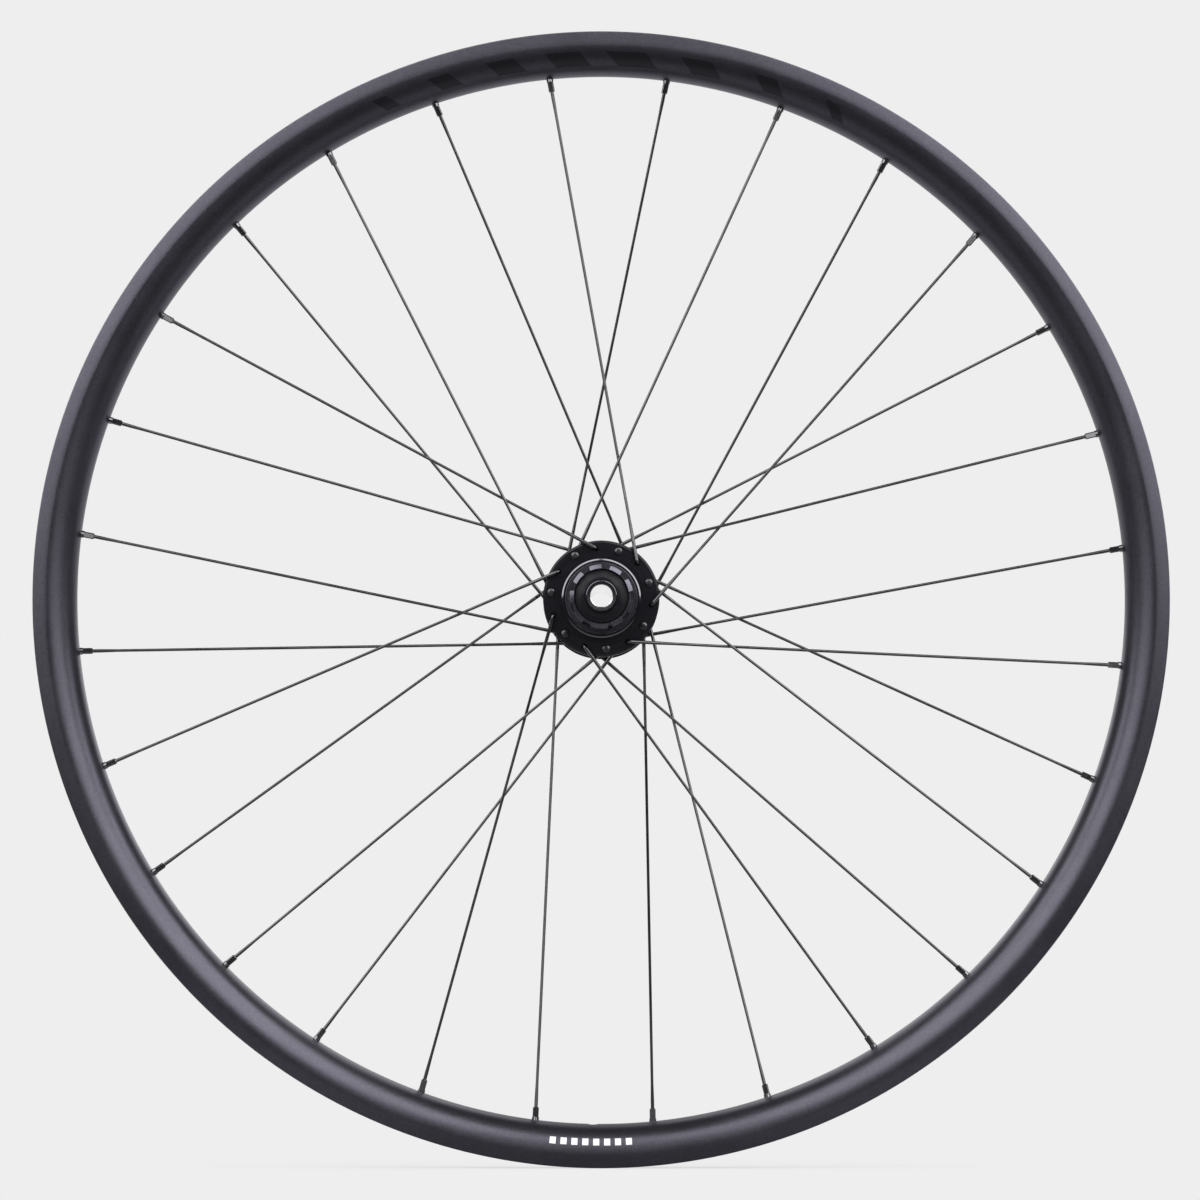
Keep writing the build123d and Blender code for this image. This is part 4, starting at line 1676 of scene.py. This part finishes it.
@dataclass
class FreehubBody:
    """Freehub body: nine-spline barrel with a lockring mouth, stop flange, and the pawl carrier behind it."""

    spline_r: float = 17.6 * MM
    root_r: float = 16.3 * MM
    end_y: float = -65.3 * MM
    stop_face_y: float = -30.3 * MM
    stop_back_y: float = -27.9 * MM
    stop_r: float = 20.0 * MM
    carrier_end_y: float = -18.9 * MM
    mouth_r: float = 15.3 * MM
    mouth_depth: float = 6.1 * MM
    bearing_seat_r: float = 12.02 * MM
    bearing_width: float = 5.0 * MM
    inner_bearing_y: float = -24.6 * MM
    bore_r: float = 10.5 * MM
    ridges: int = 9
    ridge_angle: float = 22.0
    ridge_steps: int = 8
    groove_steps: int = 6
    first_ridge: float = 21.5
    key_ridge: int = 6
    key_extra: float = 9.0
    flank_angle: float = 1.2
    lead_in: float = 1.0 * MM
    overlap: float = 0.5 * MM
    edge_round: float = 0.22 * MM
    steps: int = 128
    sharp_angle: float = 30

    def ridge_ends(self, ridge: int) -> tuple[float, float]:
        """The angles at which a ridge starts and ends."""
        start = self.first_ridge + ridge * 360 / self.ridges - self.ridge_angle / 2
        return start, start + self.ridge_angle + (self.key_extra if ridge == self.key_ridge else 0)

    def groove_ends(self, ridge: int) -> tuple[float, float]:
        """The angles between which the groove after a ridge has its full depth."""
        return self.ridge_ends(ridge)[1] + self.flank_angle, self.ridge_ends(ridge + 1)[0] - self.flank_angle

    def spline_outline(self) -> list[Corner]:
        """The barrel seen along the axle: ridges with slanted flanks, and grooves between them.

        Returns:
            Its (x, z) corners.
        """
        corners = []
        for ridge in range(self.ridges):
            corners += arc(self.spline_r, *self.ridge_ends(ridge), self.ridge_steps)
            corners += arc(self.root_r, *self.groove_ends(ridge), self.groove_steps)
        return corners

    def notch_tools(self) -> Piece:
        """Cutters that set the barrel's wall back at the end of each groove.

        Returns:
            All the cutters as one piece.
        """
        notches = []
        for ridge in range(self.ridges):
            start, end = self.groove_ends(ridge)
            outer = arc(self.spline_r, start, end, self.groove_steps)
            inner = arc(self.mouth_r - OVERCUT, end, start, self.groove_steps)
            notches.append(prism("notch", [*outer, *inner], self.end_y - OVERCUT, self.end_y + self.lead_in))
        return gather("notches", notches)

    def lead_in_tool(self) -> Piece:
        """Cutter that slants the splines' ends, so that sprockets slide on.

        Returns:
            The cutter.
        """
        outer_r = self.spline_r + OVERCUT
        slope = self.lead_in / (self.spline_r - self.mouth_r)
        return turned("lead_in", (
            (self.mouth_r, self.end_y),
            (outer_r, self.end_y + slope * (outer_r - self.mouth_r)),
            (outer_r, self.end_y - OVERCUT),
            (self.mouth_r, self.end_y - OVERCUT),
        ), self.steps)

    def bore_tool(self) -> Piece:
        """Stepped cutter for the lockring mouth, the two bearing seats and the bore between them.

        Returns:
            The cutter.
        """
        outer_bearing_y = self.end_y + self.mouth_depth
        steps = (
            (self.mouth_r, self.end_y - OVERCUT, outer_bearing_y),
            (self.bearing_seat_r, outer_bearing_y, outer_bearing_y + self.bearing_width),
            (self.bore_r, outer_bearing_y + self.bearing_width, self.inner_bearing_y),
            (self.bearing_seat_r, self.inner_bearing_y, self.carrier_end_y + OVERCUT),
        )
        stations = [(y, radius) for radius, start, end in steps for y in (start, end)]
        return bar("bore", ORIGIN, AXLE, stations, self.steps)

    def core(self) -> Piece:
        """Turn the stop flange and the pawl carrier, with a hole inside the bore that is cut later.

        Returns:
            The core.
        """
        hole_r = self.bore_r / 2
        core = turned("carrier", (
            (hole_r, self.stop_face_y),
            (self.stop_r, self.stop_face_y),
            (self.stop_r, self.stop_back_y),
            (CARRIER_R, self.stop_back_y),
            (CARRIER_R, self.carrier_end_y),
            (hole_r, self.carrier_end_y),
        ), self.steps)
        round_edges(core, self.edge_round)
        return core

    def build(self, pawls: Pawls) -> Piece:
        """Mill the splined barrel, join it to its flange and carrier, bore it and cut its pockets.

        Args:
            pawls: Where the pawls and their spring sit.

        Returns:
            The freehub body.
        """
        body = prism("freehub_barrel", self.spline_outline(), self.end_y, self.stop_face_y + self.overlap)
        combine(body, self.lead_in_tool(), Cut.TAKE_AWAY)
        round_edges(body, self.edge_round)
        combine(body, self.core(), Cut.JOIN)
        for tool in (self.bore_tool(), self.notch_tools(), pawls.spring_groove(), pawls.pocket_tools()):
            combine(body, tool, Cut.TAKE_AWAY)
        smooth(body, self.sharp_angle)
        return body

    def dress(self, body: Piece, shop: PaintShop) -> None:
        """Finish the freehub body in hard black."""
        shop.deliver(body, FREEHUB_BLACK, "freehub", "freehub_body")


@dataclass
class InnerParts:
    """The small parts whose solids are shown as they are: bearings, seals, spacers, ratchet and axle."""

    finishes: tuple[tuple[Finish, tuple[str, ...]], ...] = (
        (AXLE_ALLOY, ("axle", "freehub_spacer", "hub_spacer")),
        (BEARING_STEEL, (
            "hub_bearing_outer_rings", "hub_bearing_inner_rings",
            "freehub_bearing_outer_rings", "freehub_bearing_inner_rings",
        )),
        (HARD_STEEL, ("drive_ring", "pawl_1", "pawl_2", "pawl_3", "pawl_spring")),
        (SEAL_RUBBER, ("disc_seal", "freehub_seal")),
    )

    def dress(self, shop: PaintShop) -> None:
        """Finish each solid in its own metal or rubber.

        Args:
            shop: Where the finishes come from.
        """
        for finish, nodes in self.finishes:
            for node in nodes:
                shop.coat(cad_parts[node], finish)
                log.info("%s: %s", node, finish.slot)


# Studio


@dataclass(frozen=True)
class Lamp:
    """A soft rectangular lamp that faces the wheel."""

    name: str
    place: tuple[float, float, float]
    size: tuple[float, float]
    watts: float

    def hang(self) -> None:
        """Hang the lamp, out of the camera's sight."""
        data = bpy.data.lights.new(self.name, "AREA")
        data.shape = "RECTANGLE"
        data.size, data.size_y = self.size
        data.energy = self.watts
        lamp = bpy.data.objects.new(self.name, data)
        bpy.context.scene.collection.objects.link(lamp)
        lamp.location = self.place
        lamp.visible_camera = False
        lamp.rotation_euler = (-Vector(self.place)).to_track_quat("-Z", "Y").to_euler()


@dataclass
class Studio:
    """Pale floor and backdrop, soft lamps, and the camera at the photograph's place.

    Gloss on the wheel shows the backdrop and the floor pale behind it, and dark on the photographer's side.
    """

    BOX = (1.8, 2.6)
    STRIP = (0.6, 1.3)

    photo_px: float = 1200.0
    rim_radius_px: float = 569.1
    rim_right_px: float = 1.16
    rim_up_px: float = 0.34
    rim_front_y: float = -14.4 * MM
    camera_place: tuple[float, float, float] = (-0.015, -6.0, -0.18)
    sensor_mm: float = 36.0
    pale: Colour = (0.855, 0.855, 0.855)
    room: Colour = (0.045, 0.044, 0.05)
    ambient: float = 0.22
    backdrop_fade: tuple[float, float] = (0.35, 1.0)
    backdrop_droop: float = -0.15
    floor_tone: Colour = (0.69, 0.69, 0.69)
    floor_size: float = 30.0
    floor_cuts: int = 8
    floor_fade: tuple[float, float] = (-0.62, 0.15)
    # Brightness that the painted shadow leaves at the rim's foot, in reflections of the floor
    painted_shadow_at_foot: float = 0.25
    shadow_reach: float = 0.42
    shadow_share: float = 0.9
    lamps: tuple[Lamp, ...] = (
        Lamp("front_left_box", (-1.15, -1.75, 1.3), BOX, 41),
        Lamp("front_right_box", (1.15, -1.75, 1.3), BOX, 45),
        Lamp("back_left_box", (-1.15, 1.75, 1.3), BOX, 18),
        Lamp("back_right_box", (1.15, 1.75, 1.3), BOX, 18),
        Lamp("left_strip", (-1.6, -0.5, 0.9), STRIP, 9),
        Lamp("right_strip", (1.45, -0.5, 0.9), STRIP, 9),
    )

    def build(self) -> None:
        """Set up everything that isn't the wheel."""
        self.camera()
        for lamp in self.lamps:
            lamp.hang()
        self.backdrop()
        self.floor()

    def camera(self) -> None:
        """Look at the drive side from a little below the axle, framed as the photograph."""
        place = Vector(self.camera_place)
        half_view = self.photo_px / 2 / self.rim_radius_px * RIM_OUTER_R / (self.rim_front_y - place.y)
        data = bpy.data.cameras.new("camera")
        data.sensor_width = self.sensor_mm
        data.lens = self.sensor_mm / 2 / half_view
        data.shift_x = -self.rim_right_px / self.photo_px
        data.shift_y = -self.rim_up_px / self.photo_px
        camera = bpy.data.objects.new("camera", data)
        bpy.context.scene.collection.objects.link(camera)
        camera.location = place
        camera.rotation_euler = (-place).to_track_quat("-Z", "Y").to_euler()
        bpy.context.scene.camera = camera

    def backdrop(self) -> None:
        """Pale to the camera and behind the wheel, dark where the photographer stands."""
        scene = bpy.context.scene
        scene.view_settings.view_transform = "Standard"
        scene.world = bpy.data.worlds.new("studio")
        scene.world.use_nodes = True
        sheet = NodeSheet(scene.world.node_tree)
        _, y, z = sheet.split(sheet.add("ShaderNodeTexCoord").outputs["Generated"])
        lowered = sheet.math("MULTIPLY_ADD", z, self.backdrop_droop, y)
        behind = sheet.remap(lowered, *self.backdrop_fade)
        path = sheet.add("ShaderNodeLightPath")
        pale_share = sheet.math("MAXIMUM", path.outputs["Is Camera Ray"], behind)
        seen = sheet.add("ShaderNodeBackground")
        sheet.feed(seen.inputs["Color"], sheet.mix(pale_share, (*self.room, 1), (*self.pale, 1)))
        light = sheet.add("ShaderNodeBackground")
        light.inputs["Strength"].default_value = self.ambient
        output = sheet.add("ShaderNodeOutputWorld")
        sheet.feed(output.inputs["Surface"], sheet.blend(sheet.shown(path), light, seen))

    def floor(self) -> None:
        """A pale floor under the rim that takes a faint real shadow near the wheel and else matches the backdrop.
        Where gloss shows the floor, it carries a painted shadow round the rim's foot.
        """
        put_down()
        bpy.ops.mesh.primitive_plane_add(size=self.floor_size, location=(0, 0, -RIM_OUTER_R))
        floor = open_new("floor")
        bpy.ops.mesh.subdivide(number_cuts=self.floor_cuts)
        close_up(floor)
        material = bpy.data.materials.new("studio_floor")
        material.use_nodes = True
        sheet = NodeSheet(material.node_tree)
        # Measured from the middle of the axle, so the rim's foot is the nearest point
        distance = sheet.add("ShaderNodeVectorMath", operation="LENGTH")
        sheet.feed(distance.inputs[0], sheet.place())
        near = sheet.remap(distance.outputs["Value"], 0.0, self.shadow_reach, self.shadow_share, 0.0)
        # Painted shadow: the floor as reflections show it is painted darker towards the rim's foot
        painted_shadow_factor = sheet.remap(distance.outputs["Value"], RIM_OUTER_R, self.shadow_reach, self.painted_shadow_at_foot, 1.0)
        _, y, _ = sheet.split(sheet.place())
        behind = sheet.math("MULTIPLY", sheet.remap(y, *self.floor_fade), painted_shadow_factor)
        path = sheet.add("ShaderNodeLightPath")
        pale_share = sheet.math("MAXIMUM", path.outputs["Is Camera Ray"], behind)
        seen = sheet.add("ShaderNodeEmission")
        sheet.feed(seen.inputs["Color"], sheet.mix(pale_share, (*self.room, 1), (*self.pale, 1)))
        matt = sheet.add("ShaderNodeBsdfDiffuse")
        matt.inputs["Color"].default_value = (*self.floor_tone, 1)
        shadowed = sheet.math("MULTIPLY", path.outputs["Is Camera Ray"], near)
        seen_share = sheet.math("SUBTRACT", sheet.shown(path), shadowed)
        output = sheet.add("ShaderNodeOutputMaterial")
        sheet.feed(output.inputs["Surface"], sheet.blend(seen_share, matt, seen))
        floor.data.materials.append(material)


def main() -> None:
    """Build the studio and the wheel."""
    logging.basicConfig(level=logging.INFO, format="%(name)s: %(message)s")
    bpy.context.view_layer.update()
    Studio().build()
    shop = PaintShop(FINISHES)
    lacing = Lacing()
    rim = Rim()
    rim.dress(rim.build(lacing), shop)
    lacing.dress(shop)
    shell = HubShell()
    shell.dress(shell.build(lacing), shop)
    drive_cap = EndCap(Side.DRIVE, bearing_y=59.2 * MM, dish_r=14.7 * MM)
    disc_cap = EndCap(Side.DISC, bearing_y=53.4 * MM, dish_r=13.0 * MM)
    for cap in (drive_cap, disc_cap):
        cap.dress(cap.build(), shop)
    freehub = FreehubBody()
    freehub.dress(freehub.build(Pawls()), shop)
    InnerParts().dress(shop)


if __name__ == "__main__":
    main()
